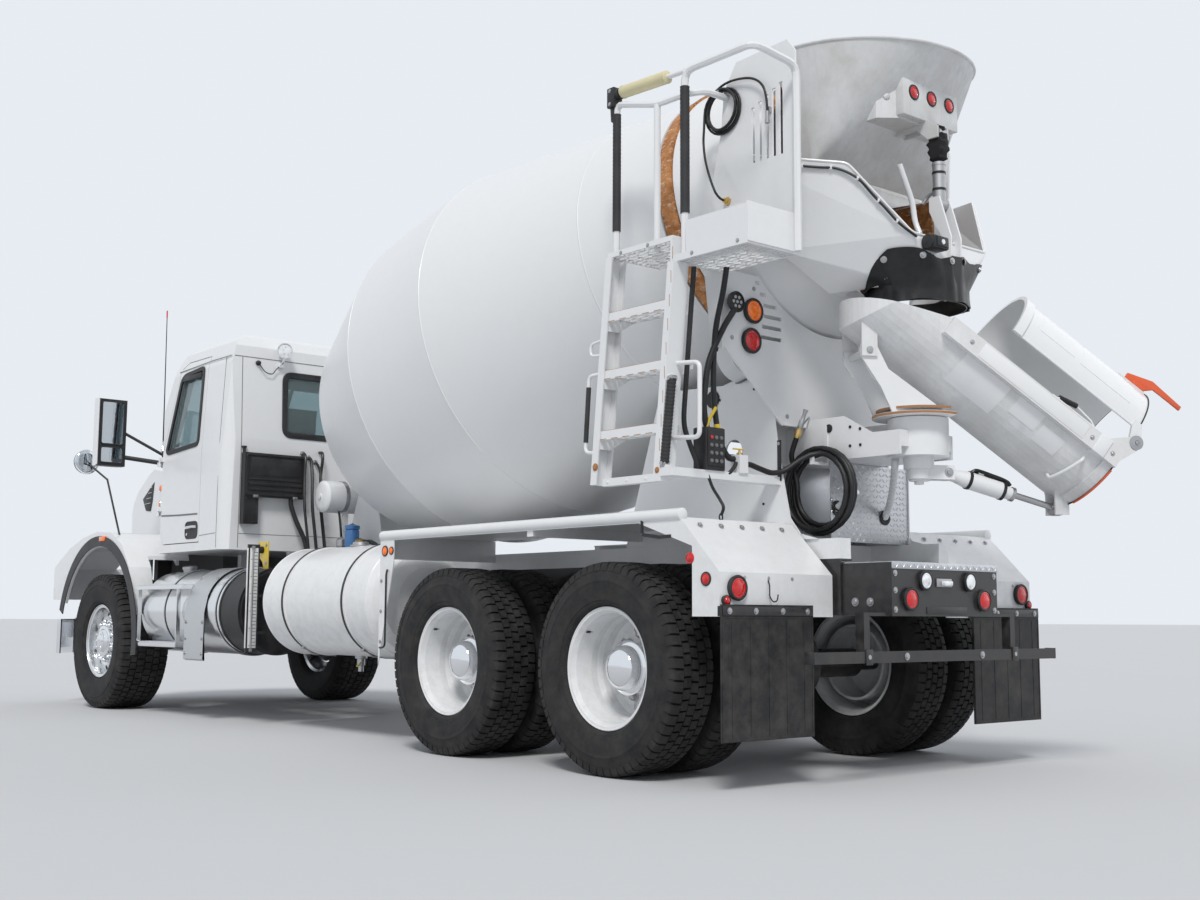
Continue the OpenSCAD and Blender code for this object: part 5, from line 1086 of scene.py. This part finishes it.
def pedestal_details():
    """Tread plate, grommets, bolts and the round lamp of the pedestal."""
    p = Piece("pedestal_trim", "chassis", "plate", "steel", "plastic", "white", "vent")
    p.box((-0.603, -0.428, 1.161), (-0.5985, 0.205, 1.5685), 0, 0.001)
    lozenges(p, (-0.603, 0.205, 1.163), (0, -0.633, 0), (0, 0, 0.404), 0.027)
    p.box((-0.6075, -0.432, 1.161), (-0.5975, -0.422, 1.5685), 3, 0.002)
    p.box((-0.3165, -0.425, 1.17), (-0.3125, 0.425, 1.565), 0, 0.001)
    for x, z in ((-0.744, 1.73), (-0.808, 1.715), (-0.742, 1.634), (-0.808, 1.634)):
        for side, _ in BOTH:
            p.turned((x, side * 0.2145, z), (0, side, 0), [(0, 0), (0, 8), (3, 8), (4, 4), (4, 0)], 4, 12)
    p.turned((-0.606, 0.2145, 1.735), LEFT, [(0, 0), (0, 22), (4, 22), (6, 16), (6, 0)], 2, 24)
    p.turned((0.0, 0.4425, 1.93), LEFT, [(0, 0), (0, 46), (4, 48), (8, 44), (9, 0)], 2)
    p.box((-0.486, 0.4415, 1.46), (-0.462, 0.45, 1.668), 2, 0.003)
    p.bolt((-0.474, 0.4505, 1.65), LEFT, 0.006, 1)
    # Grommets, the hanging peg and the wrapped line up to the swivel
    for c in ((-0.6055, 0.16, 1.33), (-0.6055, -0.225, 1.3)):
        p.turned(c, BACK, [(0, 0), (0, 40), (4, 40), (5, 26), (2, 24), (2, 0)], 2, 24)
    p.tube([(-0.598, 0.165, 1.325), (-0.745, 0.172, 1.408)], 0.017, 3, 16)
    p.torus((-0.612, 0.166, 1.333), (-0.86, 0.05, 0.5), 0.017, 0.006, 2, 20, 6)
    line = smooth_line([(-0.603, -0.225, 1.3), (-0.66, -0.19, 1.35), (-0.76, -0.1, 1.45), (-0.86, 0.01, 1.54),
            (-0.88, 0.03, 1.572)], 24)
    p.ribbed(line, 0.018, 3, 0.11, 150)
    # Small heads on both sides, the bead across the front and the bolts of the wing plates
    for side, _ in BOTH:
        for x, z in ((-0.38, 1.52), (-0.36, 1.35), (-0.42, 1.22), (-0.05, 1.92), (0.3, 1.96), (-0.3, 1.95), (0.38, 1.6),
                (0.5, 1.35)):
            p.turned((x, side * 0.4425, z), (0, side, 0), [(0, 0), (0, 7), (3, 7), (4, 3), (4, 0)], 4, 10)
    p.box((-0.456, -0.39, 1.752), (-0.452, 0.39, 1.76), 3, 0.001)
    for side, _ in BOTH:
        for y, z in ((0.6, 2.43), (0.76, 2.16), (0.36, 1.8)):
            p.bolt((-0.4525, side * y, z), BACK, 0.008, 1)
    # Black round lamp on the plate, with its seven lights
    c = Vector((-0.49, 0.775, 2.33))
    p.turned(c, BACK, [(-37, 0), (-37, 18), (-10, 20), (-4, 52), (14, 54), (18, 50), (18, 46), (12, 45)], 2, 28)
    p.turned(c, BACK, [(12.5, 45.5), (14.5, 30), (15, 0)], 4, 28)
    for k in range(7):
        a = 2 * math.pi * k / 6
        o = Vector((-0.0155, 0, 0)) + (Vector((0, math.cos(a), math.sin(a))) * 0.026 if k < 6 else Vector())
        p.turned(c + o, BACK, [(0, 9), (2, 8), (3, 0)], 1, 12)
    p.done()


def ladder_details():
    """Gratings, strut, loops, hoses and the remote control's box."""
    p = Piece("ladder_gratings", "chassis", "white", "edge_rust")
    for z in (1.697, 2.0, 2.29):
        x0, x1 = -0.366 + lean(z), 0.074 + lean(z)
        for j in range(5):
            zigzag(p, x0, x1, 1.025 + 0.037 * j, z - 0.02, 0.012, 0.042, 0.019)
        for k in range(5):
            x = x0 + 0.05 + 0.085 * k
            p.box((x, 1.1885, z - 0.0435), (x + 0.05, 1.1908, z - 0.04), 1, 0.0008)
        p.box((x0 + 0.01, 1.181, z - 0.0005), (x1 - 0.01, 1.19, z + 0.002), 1, 0.0006)
    for x0, x1, y0, y1, z in ((-0.95, -0.476, 0.845, 1.165, 2.472), (-0.46, -0.006, 0.845, 1.18, 2.577)):
        for j in range(11):
            zigzag(p, x0, x1, y0 + (y1 - y0) * (j + 0.5) / 11, z, 0.011, 0.036, 0.022)
    p.bolt((0.075, 1.2005, 1.518), LEFT, 0.013, 1)
    p.bolt((-0.38, 1.2005, 1.47), LEFT, 0.01, 1)
    for x in (-0.3, -0.16, -0.02):
        p.bolt((x, 1.2005, 1.436), LEFT, 0.006, 0)
    for k in range(9):
        z = 1.56 + 0.115 * k
        p.box((-0.3925 + lean(z), 1.1995, z), (-0.3895 + lean(z), 1.2008, z + 0.06), 1, 0.0004)
    p.done()

    p = Piece("ladder_strut", "chassis", "wrap", "white", "steel")
    a, b = Vector((-0.462, 1.18, 1.905)), Vector((-0.415, 1.185, 1.5))
    line = [a.lerp(b, k / 90) for k in range(91)]
    p.ribbed(line, 0.0215, 0, 0.07, 150, 12)
    for c in (a, b):
        p.turned(c + Vector((0, -0.02, 0)), LEFT, [(0, 0), (0, 18), (35, 18), (37, 10), (44, 10), (44, 0)], 2, 14)
    p.box((-0.47, 1.15, 1.895), (-0.425, 1.196, 1.925), 1)
    p.box((-0.432, 1.15, 1.478), (-0.38, 1.196, 1.5), 1)
    # Guard loop behind the ladder, front grab bar with its sleeve, and the small eye
    p.tube(rounded([(-0.425, 1.13, 1.988), (-0.6, 1.13, 1.972), (-0.598, 1.13, 1.615), (-0.395, 1.13, 1.628)], 0.035,
            6), 0.0115, 1, 12)
    p.tube(rounded([(0.06, 1.186, 1.99), (0.138, 1.192, 1.988), (0.165, 1.192, 1.6), (0.1, 1.186, 1.592)], 0.03, 6),
            0.0095, 1)
    p.tube([(0.1405, 1.192, 1.93), (0.1615, 1.192, 1.65)], 0.0125, 0, 12)
    p.tube(rounded([(0.05, 1.186, 2.16), (0.128, 1.19, 2.15), (0.13, 1.19, 2.09), (0.055, 1.186, 2.085)], 0.025),
            0.0075, 1)
    p.done()

    p = Piece("ladder_hoses", "chassis", "hose", "brass", "yellow")
    runs = [(0.013, [(-0.512, 1.08, 2.455), (-0.495, 1.08, 2.3), (-0.47, 1.08, 2.05), (-0.45, 1.08, 1.85),
            (-0.436, 1.075, 1.7), (-0.44, 1.04, 1.6), (-0.452, 1.01, 1.52), (-0.45, 1.0, 1.478)]),
            (0.016, [(-0.5, 0.79, 2.29), (-0.485, 0.86, 2.18), (-0.462, 0.93, 2.02), (-0.455, 0.955, 1.86),
            (-0.452, 0.955, 1.76), (-0.45, 0.93, 1.67)]), (0.015, [(-0.56, 0.9, 2.5), (-0.53, 0.9, 2.36),
            (-0.478, 0.9, 2.18), (-0.462, 0.9, 2.0), (-0.455, 0.89, 1.82), (-0.458, 0.86, 1.65), (-0.455, 0.8, 1.56),
            (-0.45, 0.74, 1.55)]), (0.008, [(-0.47, 0.96, 1.48), (-0.48, 0.93, 1.4), (-0.5, 0.9, 1.34),
            (-0.525, 0.9, 1.3), (-0.51, 0.9, 1.262)]),]
    for r, pts in runs:
        p.tube(smooth_line(pts), r)
    p.torus((-0.508, 0.9, 1.2535), (1, 0.3, 0), 0.016, 0.004, 0, 20)
    p.ring((-0.47, 0.9, 2.08), (-0.15, 0, 1), 0.01, 0.0155, 0.0185, 0, 16)
    p.ring((-0.4565, 0.872, 1.7), (0.02, 0.16, 1), 0.012, 0.0152, 0.0175, 2, 16)
    # Valve body and its brass union with the wash hose
    p.turned((-0.46, 0.7115, 1.53), (0, -1, 0), [(-4, 0), (-4, 26), (10, 26), (12, 20), (24, 19.5), (24, 0)], 1, 6)
    p.turned((-0.46, 0.72, 1.565), UP, [(0, 0), (0, 16), (18, 15), (20, 6), (34, 6), (34, 0)], 1, 12)
    p.box((-0.466, 0.69, 1.597), (-0.454, 0.765, 1.604), 2, 0.002)
    p.done()

    p = Piece("control_box", "chassis", "plastic", "seam", "yellow", "red", "hose")
    p.box((-0.492, 0.85, 1.48), (-0.402, 0.985, 1.69), 0, 0.008)
    p.box((-0.497, 0.862, 1.5), (-0.49, 0.973, 1.68))
    for j in range(4):
        for k in range(3):
            look = 3 if (j, k) == (3, 2) else 1
            c = (-0.4975, 0.885 + 0.033 * k, 1.525 + 0.038 * j)
            p.turned(c, BACK, [(0, 0), (0, 10), (5, 9), (6, 0)], look, 14)
    p.sweep(smooth_line([(-0.455, 0.94, 1.69), (-0.462, 0.93, 1.73), (-0.478, 0.9, 1.79)], 4), circle(0.014, 10, 0.6),
            2)
    p.tube([(-0.455, 0.94, 1.68), (-0.458, 0.937, 1.71)], 0.008, 0, 8)
    p.tube(smooth_line([(-0.45, 0.87, 1.49), (-0.47, 0.82, 1.47), (-0.475, 0.78, 1.5), (-0.47, 0.755, 1.53)], 5), 0.01,
            4, 8)
    p.done()


def platform_details():
    """Wrapped posts and padded bar of the platform, and its hose's hook."""
    p = Piece("platform_grips", "chassis", "wrap", "pad", "plastic", "steel", "white", "brass")
    for x, z0, z1, r in ((-0.022, 2.716, 3.33, 0.0215), (-0.523, 2.705, 3.335, 0.0235)):
        line = [(x, 1.15, z0 + (z1 - z0) * k / 60) for k in range(61)]
        p.ribbed(line, r, 0, 0.03, 190, 14)
    a, b = Vector((-0.074, 1.15, 3.4369)), Vector((-0.395, 1.15, 3.4214))
    p.tube([a, a.lerp(b, 0.01), a.lerp(b, 0.99), b], 0.0325, 1, 20)
    for c, d in ((a, 1), (b, -1)):
        p.turned(c, (d, 0, 0), [(-4, 33.5), (4, 33.5), (10, 26), (11, 0)], 1, 20)
    p.box((-0.03, 1.119, 3.367), (0.025, 1.181, 3.473), 2, 0.006)
    p.tube([(-0.055, 1.15, 3.436), (-0.018, 1.15, 3.438)], 0.03, 2, 16)
    p.tube([(0.0, 1.15, 3.372), (-0.006, 1.15, 3.3)], 0.021, 2, 14)
    for z in (3.385, 3.455):
        p.bolt((0.0, 1.1815, z), LEFT, 0.007, 3)
    for x, y, z in ((-0.6, 1.1805, 2.49), (-0.9, 1.1805, 2.49), (-0.3, 1.1905, 2.585), (-0.1, 1.1905, 2.585)):
        p.bolt((x, y, z), LEFT, 0.007, 3)
    p.turned((-0.5, 0.8325, 2.83), LEFT, [(0, 0), (0, 22), (10, 22), (12, 14), (30, 14), (32, 0)], 5, 6)
    p.done()

    # Hook and clip of the short hose
    p = Piece("platform_hook", "chassis", "steel")
    p.tube([(-0.48, 0.832, 3.384), (-0.48, 0.878, 3.384), (-0.48, 0.882, 3.398)], 0.006, 0, 8)
    p.box((-0.8, 0.832, 3.205), (-0.784, 0.85, 3.235), 0, 0.002)
    p.done()


pedestal_details()
ladder_details()
platform_details()


# ---------------------------------------------------------------- drum, hopper and collector
# The drum's axis towards its mouth, and a point on it
AXIS = Vector((-math.cos(DRUM_TILT), 0, math.sin(DRUM_TILT)))
DRUM_C = Vector((2.603, 0, 2.4))


def drum_details():
    """Weld beads, and a band with a rolled lip round the mouth in the rust colour, which is painted shade of the
    mouth's edge.
    """
    p = Piece("drum_welds", "drum", "drum")
    for s, r in ((0.0, 1.154), (0.868, 1.174), (2.09, 0.923)):
        p.lathe(DRUM_C + AXIS * s, AXIS, [(-0.007, r - 0.002), (-0.004, r + 0.0015), (0, r + 0.0025),
                (0.004, r + 0.0015), (0.007, r - 0.003)], 0, 128)
    p.done()
    # Shell over the last 0.3 m of the tail cone and its rolled lip, in the rust material: painted shade at the mouth's
    # edge
    p = Piece("drum_mouth_shade_band", "drum", "rust")
    p.turned(DRUM_C + AXIS * 3.3, AXIS, [(-300, 664), (-300, 660), (-4, 632), (3, 634), (4, 649), (-2, 654),
            (-4, 650.5), (-2, 639.5)], 0, 96, True)
    p.done()


def hopper_details():
    """Rim bead, lamps, and the boot and bands of the lift cylinder."""
    p = Piece("hopper_trim", "hopper", "hopper", "red", "plastic", "hose", "steel")
    turn = math.radians(3.5)
    centre = Vector((-0.7, 0, 3.6365))
    pts = []
    for k in range(61):
        a = math.radians(180 - 103 + 206 * k / 60)
        q = Vector((0.5645 * math.cos(a), 0.5645 * math.sin(a), 0))
        pts.append(centre + Vector((q.x * math.cos(turn), q.y, q.x * math.sin(turn))))
    p.tube(pts, 0.0085, 0, 8)
    # Face of the lamp bar, clear of the cone
    p.box((-1.122, -0.222, 3.262), (-1.07, 0.222, 3.448))
    for y in (0.14, -0.004, -0.15):
        round_lamp(p, (-1.122, y, 3.388), BACK, 0.037, 1, 2)
    p.turned((-1.046, 0.2595, 3.36), (-0.77, 0.635, 0), [(0, 0), (0, 16), (3, 16), (4, 8), (4, 0)], 4, 16)
    # Stiffener round the lower cone
    p.box((-0.736, -0.481, 3.0285), (-0.5, -0.47, 3.0345), 0, 0.001)
    p.done()
    p = Piece("lift_boot", "hopper_rod", "boot", "steel")
    rings = []
    z0, z1 = 3.05, 3.236
    for i in range(15):
        t = i / 14
        z = z0 + (z1 - z0) * t
        ring = []
        base = 0.04 + 0.02 * math.sin(math.pi * min(1, t * 1.15)) + 0.006 * (1 if i % 3 == 1 else -0.4)
        if i in (0, 14):
            base *= 0.62
        for k in range(24):
            a = 2 * math.pi * k / 24
            fold = 0.005 * math.sin(3 * a + i * 1.9) + 0.003 * math.sin(7 * a - i * 1.1)
            ring.append(Vector((HOPPER_LIFT_X + (base + fold) * 0.82 * math.cos(a),
                    min(0.033, max(-0.033, (base + fold) * math.sin(a))), z)))
        rings.append(ring)
    p.skin(rings)
    p.done()
    p = Piece("lift_barrel_trim", "hopper_barrel", "steel", "hose", "boot")
    for z in (2.905, 2.99, 3.035):
        p.ring((HOPPER_LIFT_X, 0, z), UP, 0.006, 0.0315, 0.0345, 0 if z > 3 else 1, 32)
    p.tube(rounded([(-1.128, 0, 2.895), (-1.105, 0, 2.895), (-1.085, 0.0, 2.88), (-1.065, 0.01, 2.85)], 0.012), 0.01)
    p.done()


def collector_details():
    """Cable, camera box, edge tubes and the rubber skirt."""
    a, b, c = Vector((-0.56, 0.82, 3.055)), Vector((-1.0, 0.517, 2.97)), Vector((-1.215, 0.3, 2.617))
    out1, out2 = Vector((-0.55, 0.8, -0.2)).normalized(), Vector((-0.75, 0.62, -0.22)).normalized()
    p = Piece("collector_cable", "chassis", "hose", "white", "plastic", "clear")
    pts = [a.lerp(b, t) + Vector((0, 0, -0.03)) + out1 * 0.006 for t in (0.15, 0.35, 0.55, 0.75, 0.92)]
    pts += [b.lerp(c, t) + Vector((0, 0, -0.022)) + out2 * 0.014
            for t in (0.15, 0.38, 0.6, 0.8)] + [Vector((-1.232, 0.285, 2.6))]
    line = smooth_line(pts, 5)
    p.tube(line, 0.0065, 0, 8)
    for i in range(4, len(line) - 4, 7):
        q = line[i]
        p.box(q - Vector((0.008, 0.008, 0.01)), q + Vector((0.008, 0.006, 0.01)), 1, 0.003)
    # Blank black camera box on its bracket
    p.box((-1.3, 0.118, 2.546), (-1.222, 0.238, 2.612), 2, 0.012)
    p.box((-1.306, 0.135, 2.556), (-1.299, 0.222, 2.602), 2)
    p.turned((-1.306, 0.178, 2.579), BACK, [(0, 0), (0, 13), (3, 12), (4, 0)], 3, 18)
    p.turned((-1.262, 0.238, 2.58), LEFT, [(0, 0), (0, 34), (8, 34), (10, 28), (10, 0)], 2, 26)
    p.box((-1.226, 0.15, 2.56), (-1.206, 0.212, 2.618), 2, 0.003)
    # Bent white tube
    p.tube(smooth_line([(-1.15, 0.303, 2.975), (-1.15, 0.255, 2.89), (-1.15, 0.209, 2.803), (-1.155, 0.195, 2.71),
            (-1.18, 0.193, 2.64)]), 0.014, 1, 12)
    p.done()
    p = Piece("collector_edge", "chassis", "white")
    for side, _ in BOTH:
        m = Vector((1, side, 1))
        pts = [Vector(q[i] * m[i] for i in range(3)) for q in (a, b, c)]
        p.tube(rounded([pts[0] + Vector((0.004, 0, 0.004)), pts[1] + Vector((0, 0, 0.004)),
                pts[2] + Vector((0, 0, 0.006)), (-1.215, 0, 2.623)], 0.03, 4), 0.007, 0, 8)
    p.done()

    # Rubber skirt bolted over the collector's lower edge and hanging round the outlet
    p = Piece("skirt_rubber", "chassis", "sheet", "steel")
    rows_out, rows_in, steps = [], [], 96
    for k in range(steps + 1):
        th = math.radians(62 + 236 * k / steps)
        radial = Vector((math.cos(th), math.sin(th), 0))
        middle = math.sin(math.pi * k / steps)
        wave = (0.006 * math.sin(th * 9) + 0.004 * math.sin(th * 15 + 1)) * min(1, middle * 3)
        mid = Vector((SWIVEL_X, 0, 2.4)) + radial * 0.256
        low = Vector((SWIVEL_X, 0, 2.317 + 0.004 * math.sin(th * 6))) + radial * (0.2575 + abs(wave))
        reach = 0.15 * min(1, middle * 1.8) + 0.012 * math.sin(th * 4)
        high = mid + Vector((0, 0, 0.03)) + (radial * 0.8 + Vector((0, 0, 0.9))).normalized() * max(0.02, reach)
        spot, face = nearest("collector", high)
        if face.dot(radial) < 0:
            face = -face
        high = spot + face * 0.005
        half, toward = nearest("collector", high.lerp(mid, 0.5))
        if toward.dot(radial) < 0:
            toward = -toward
        over = (high.lerp(mid, 0.5) - half).dot(toward)
        half = high.lerp(mid, 0.5) + toward * max(0, 0.006 - over)
        path = [high, half, mid + radial * 0.5 * abs(wave), mid.lerp(low, 0.5), low]
        lift = (face * 0.6 + radial * 0.4).normalized()
        rows_in.append(path)
        rows_out.append([q + (lift if i < 2 else radial) * 0.0055 for i, q in enumerate(path)])
    p.skin([o + i[::-1] for o, i in zip(rows_out, rows_in)])
    for k in (16, 30, 42, 54, 66, 80):
        q = rows_out[k][0].lerp(rows_out[k][1], 0.35)
        n = (rows_out[k][0] - rows_in[k][0]).normalized()
        p.turned(q, n, [(-2, 0), (-2, 17), (3, 17), (4, 10), (9, 9), (10, 0)], 1, 16)
    # Ring hidden behind the sheet, closing the drape at the front
    p.turned((SWIVEL_X, 0, 2.3155), UP, [(0, 253.5), (0, 247.5), (84, 247.5), (84, 253.5)], 0, 72, True)
    p.done("skirt")


drum_details()
hopper_details()
collector_details()


# ---------------------------------------------------------------- swivel and chutes
# Frames of the swivel, of the chute on its slope, and of the lift cylinder
AT_SWIVEL = Matrix.Translation((SWIVEL_X, 0, 0)) @ Matrix.Rotation(math.pi + PARK, 4, "Z")
ON_SLOPE = AT_SWIVEL @ Matrix.Translation((0.076, 0, 2.226)) @ Matrix.Rotation(SLOPE, 4, "Y")
LIFT = Vector((0.737 - EYE_OUT, 0, 1.327 - EYE_Z))
ON_LIFT = AT_SWIVEL @ Matrix.Translation((EYE_OUT, 0, EYE_Z)) @ Matrix.Rotation(math.atan2(-LIFT.z, LIFT.x), 4, "Y")


def trough_point(s, deg, r, up=MAIN_UP):
    """Round a trough's centre line, with 270 degrees at its bottom."""
    a = math.radians(deg)
    return Vector((s, r * math.cos(a), up + r * math.sin(a)))


def curved_plate(p, s0, s1, d0, d1, mat, up, r0=0.2702, r1=0.2716, n=8):
    """A plate bent over a trough's wall, from one angle to another."""
    p.skin([[trough_point(s, d0 + (d1 - d0) * k / n, r, up) for s, r in ((s0, r0), (s1, r0), (s1, r1), (s0, r1))]
            for k in range(n + 1)], mat)


def chute_details():
    """Trim of the swivel, of both chutes and of the lift cylinder."""
    p = Piece("swivel_trim", "chute_swivel", "edge_rust", "steel", "hose", "white", frame=AT_SWIVEL)
    for z, r, cut in ((1.771, 0.225, 0.12), (1.8, 0.205, 0.095)):
        a0 = math.degrees(math.acos(cut / r))
        pts = [Vector((r * math.cos(math.radians(a)), r * math.sin(math.radians(a)), z))
                for a in [a0 + (360 - 2 * a0) * k / 60 for k in range(61)]]
        p.sweep(pts, strip(0.012, 0.0012, 0.0005), 0, lambda q: (q.x, q.y, 0))
    for y in (-1, 1):
        p.turned((EYE_OUT, y * 0.0465, EYE_Z), (0, y, 0), [(0, 0), (0, 22), (4, 22), (5, 14), (12, 13), (12, 0)], 1, 20)
        p.turned((-0.3, y * 0.1385, 2.08), (0, y, 0), [(0, 0), (0, 17), (6, 16), (8, 0)], 1, 20)
    p.turned((0, 0, 1.4595), DOWN, [(0, 0), (0, 50), (8, 50), (10, 24), (24, 24), (26, 0)], 3, 24)
    p.done()

    p = Piece("main_chute_trim", "main_chute", "chute", "sheet", "orange", "steel", "white", "hose", frame=ON_SLOPE)
    lip = [trough_point(1.0785, 180 + 180 * k / 40, 0.2765) for k in range(41)]
    p.sweep(lip, strip(0.006, 0.01, 0.006), 1, lambda q: (0, q.y, q.z + 0.02))
    p.sweep([q + Vector((0.003, 0, 0)) for q in lip[4:17]], strip(0.01, 0.0125, 0.004), 2,
            lambda q: (0, q.y, q.z + 0.02))
    for y in (-1, 1):
        # Blank plates on the rim tubes, end blocks and bolts
        p.box((0.2, y * 0.2995, -0.086), (0.86, y * 0.3025, -0.01), 4, 0.001)
        p.box((0.93, y * 0.236, -0.1), (1.0, y * 0.3085, 0.0035), 4, 0.006)
        for s in (0.14, 0.9, 1.03):
            p.bolt((s, y * 0.3005, -0.048), (0, y, 0), 0.008, 3)
        p.turned((1.1, y * 0.2995, 0.073), (0, y, 0), [(0, 13), (0, 36), (5, 36), (6, 22), (7, 13)], 3, 28)
        p.tube([(0.62, y * 0.285, 0.004), (0.92, y * 0.285, 0.004)], 0.006, 4, 8)
    # Blank plates on the trough's outer side, curved with it
    for span in ((0.16, 0.44, 192, 232), (0.5, 0.66, 196, 216), (0.68, 0.82, 204, 224)):
        curved_plate(p, *span, 4, MAIN_UP)
    # Bent handle from the side to the bottom, and the grip on the rim
    path = [trough_point(0.94, 205, 0.268)] + [trough_point(0.93 - 0.006 * k, 207 + 5 * k, 0.305)
            for k in range(8)] + [trough_point(0.88, 246, 0.268)]
    p.tube(rounded(path, 0.02), 0.009, 4)
    p.tube([(0.66, -0.275, 0.018), (0.76, -0.262, 0.046)], 0.0135, 5, 12)
    p.tube([(0.755, -0.262, 0.045), (0.86, -0.266, 0.03), (0.9, -0.275, 0.002)], 0.006, 4, 8)
    p.tube([(0.64, -0.28, 0.0), (0.67, -0.275, 0.021)], 0.006, 4, 8)
    p.done()

    p = Piece("fold_chute_trim", "fold_chute", "chute", "orange", "white", "steel", "sheet", frame=ON_SLOPE)
    # Beads along the edges and blank panels over the crown
    for y in (-1, 1):
        p.tube([(0.285, y * 0.2665, 0.149), (1.078, y * 0.2665, 0.149)], 0.0065, 2, 8)
        p.turned((1.1, y * 0.3042, 0.073), (0, y, 0), [(0, 0), (0, 10), (6, 9), (8, 0)], 3, 16)
    for span in ((0.4, 0.62, 118, 158), (0.66, 0.98, 112, 160), (0.45, 0.8, 30, 66)):
        curved_plate(p, *span, 2, FOLD_UP)
    rim = [trough_point(1.0805, a, TROUGH_R, FOLD_UP) for a in range(2, 179, 4)]
    p.sweep(rim, strip(0.006, 0.006, 0.006), 4, lambda q: (0, q.y, q.z - FOLD_UP))
    # Latch lever and loop handle, on both sides of where the rod's lugs are once the chute is unfolded
    curved_plate(p, 0.9, 1.07, 70, 114, 2, FOLD_UP, 0.2695, 0.279, 6)
    y = -0.084
    p.prism([(0.95, y, 0.4), (0.95, y, 0.446), (1.085, y, 0.494), (1.285, y, 0.482), (1.285, y, 0.458),
            (1.112, y, 0.461), (1.07, y, 0.418)], (0, 0.012, 0), 1, 0.002)
    p.box((1.0, -0.091, 0.398), (1.072, -0.065, 0.436), 1)
    y = 0.072
    p.tube(rounded([(0.96, y, 0.404), (1.04, y, 0.5), (1.105, y, 0.49), (1.095, y, 0.43), (1.04, y, 0.404)], 0.02),
            0.008, 2)
    p.done()

    p = Piece("chute_lift_hoses", "chute_barrel", "hose", "steel", "wrap", frame=ON_LIFT)
    for y, z in ((0.0, 0.062), (0.022, 0.058)):
        p.tube(smooth_line([(0.135, y, 0.04), (0.15, y, z - 0.002), (0.185, y, z + 0.002), (0.24, y, z),
                (0.29, y, z - 0.002), (0.33, y, z - 0.008), (0.35, y, 0.04)]), 0.0085, 0, 8)
    for s in (0.125, 0.31):
        p.ring((s, 0, 0), AHEAD, 0.008, 0.0435, 0.047, 0, 36)
    p.turned((0.372, 0, 0), AHEAD, [(-14, 31.5), (-14, 36.5), (3, 36.5), (3, 17), (-14, 17)], 1, 36, True)
    p.box((0.165, -0.016, 0.04), (0.195, 0.04, 0.052), 1, 0.003)
    p.done()


chute_details()


# ---------------------------------------------------------------- stage and light
def stage():
    """Floor, sky and two suns."""
    m = Mat("floor_pale")
    n = m.ramp(m.noise(0.35, 4, 0.5), 0.3, 0.7)
    m.set(Base_Color=m.mix(m.math("MULTIPLY", n, 0.08), (0.62, 0.63, 0.645), (0.56, 0.57, 0.585)), Roughness=0.9,
            Specular_IOR_Level=0.1)
    bpy.ops.mesh.primitive_plane_add(size=400, location=(0, 0, 0))
    floor = bpy.context.object
    floor.name = "floor"
    floor.data.materials.append(m.m)
    world = bpy.data.worlds.new("world")
    bpy.context.scene.world = world
    world.use_nodes = True
    t = world.node_tree
    # One sky lights the truck, and a paler one is what the camera and reflections see
    bg, seen = t.nodes["Background"], t.nodes.new("ShaderNodeBackground")
    for node, colour, strength in ((bg, (0.8, 0.83, 0.88, 1), 0.62), (seen, (0.8, 0.84, 0.89, 1), 1.0)):
        node.inputs["Color"].default_value, node.inputs["Strength"].default_value = colour, strength
    path = t.nodes.new("ShaderNodeLightPath")
    ray = path.outputs["Is Camera Ray"]
    for kind in ("Is Glossy Ray", "Is Transmission Ray"):
        either = t.nodes.new("ShaderNodeMath")
        either.operation = "MAXIMUM"
        t.links.new(ray, either.inputs[0])
        t.links.new(path.outputs[kind], either.inputs[1])
        ray = either.outputs[0]
    mix = t.nodes.new("ShaderNodeMixShader")
    t.links.new(ray, mix.inputs["Fac"])
    t.links.new(bg.outputs[0], mix.inputs[1])
    t.links.new(seen.outputs[0], mix.inputs[2])
    t.links.new(mix.outputs[0], t.nodes["World Output"].inputs["Surface"])

    def sun(name, direction, strength, angle, colour=(1, 1, 1)):
        d = bpy.data.lights.new(name, "SUN")
        d.energy, d.angle, d.color = strength, math.radians(angle), colour
        o = bpy.data.objects.new(name, d)
        o.rotation_euler = Vector(direction).to_track_quat("-Z", "Y").to_euler()
        bpy.context.scene.collection.objects.link(o)

    sun("key", (0.55, -0.55, -0.85), 1.9, 14, (1, 0.985, 0.96))
    sun("fill", (0.3, 0.9, -0.45), 0.35, 60)
    bpy.context.scene.view_settings.view_transform = "Standard"


stage()
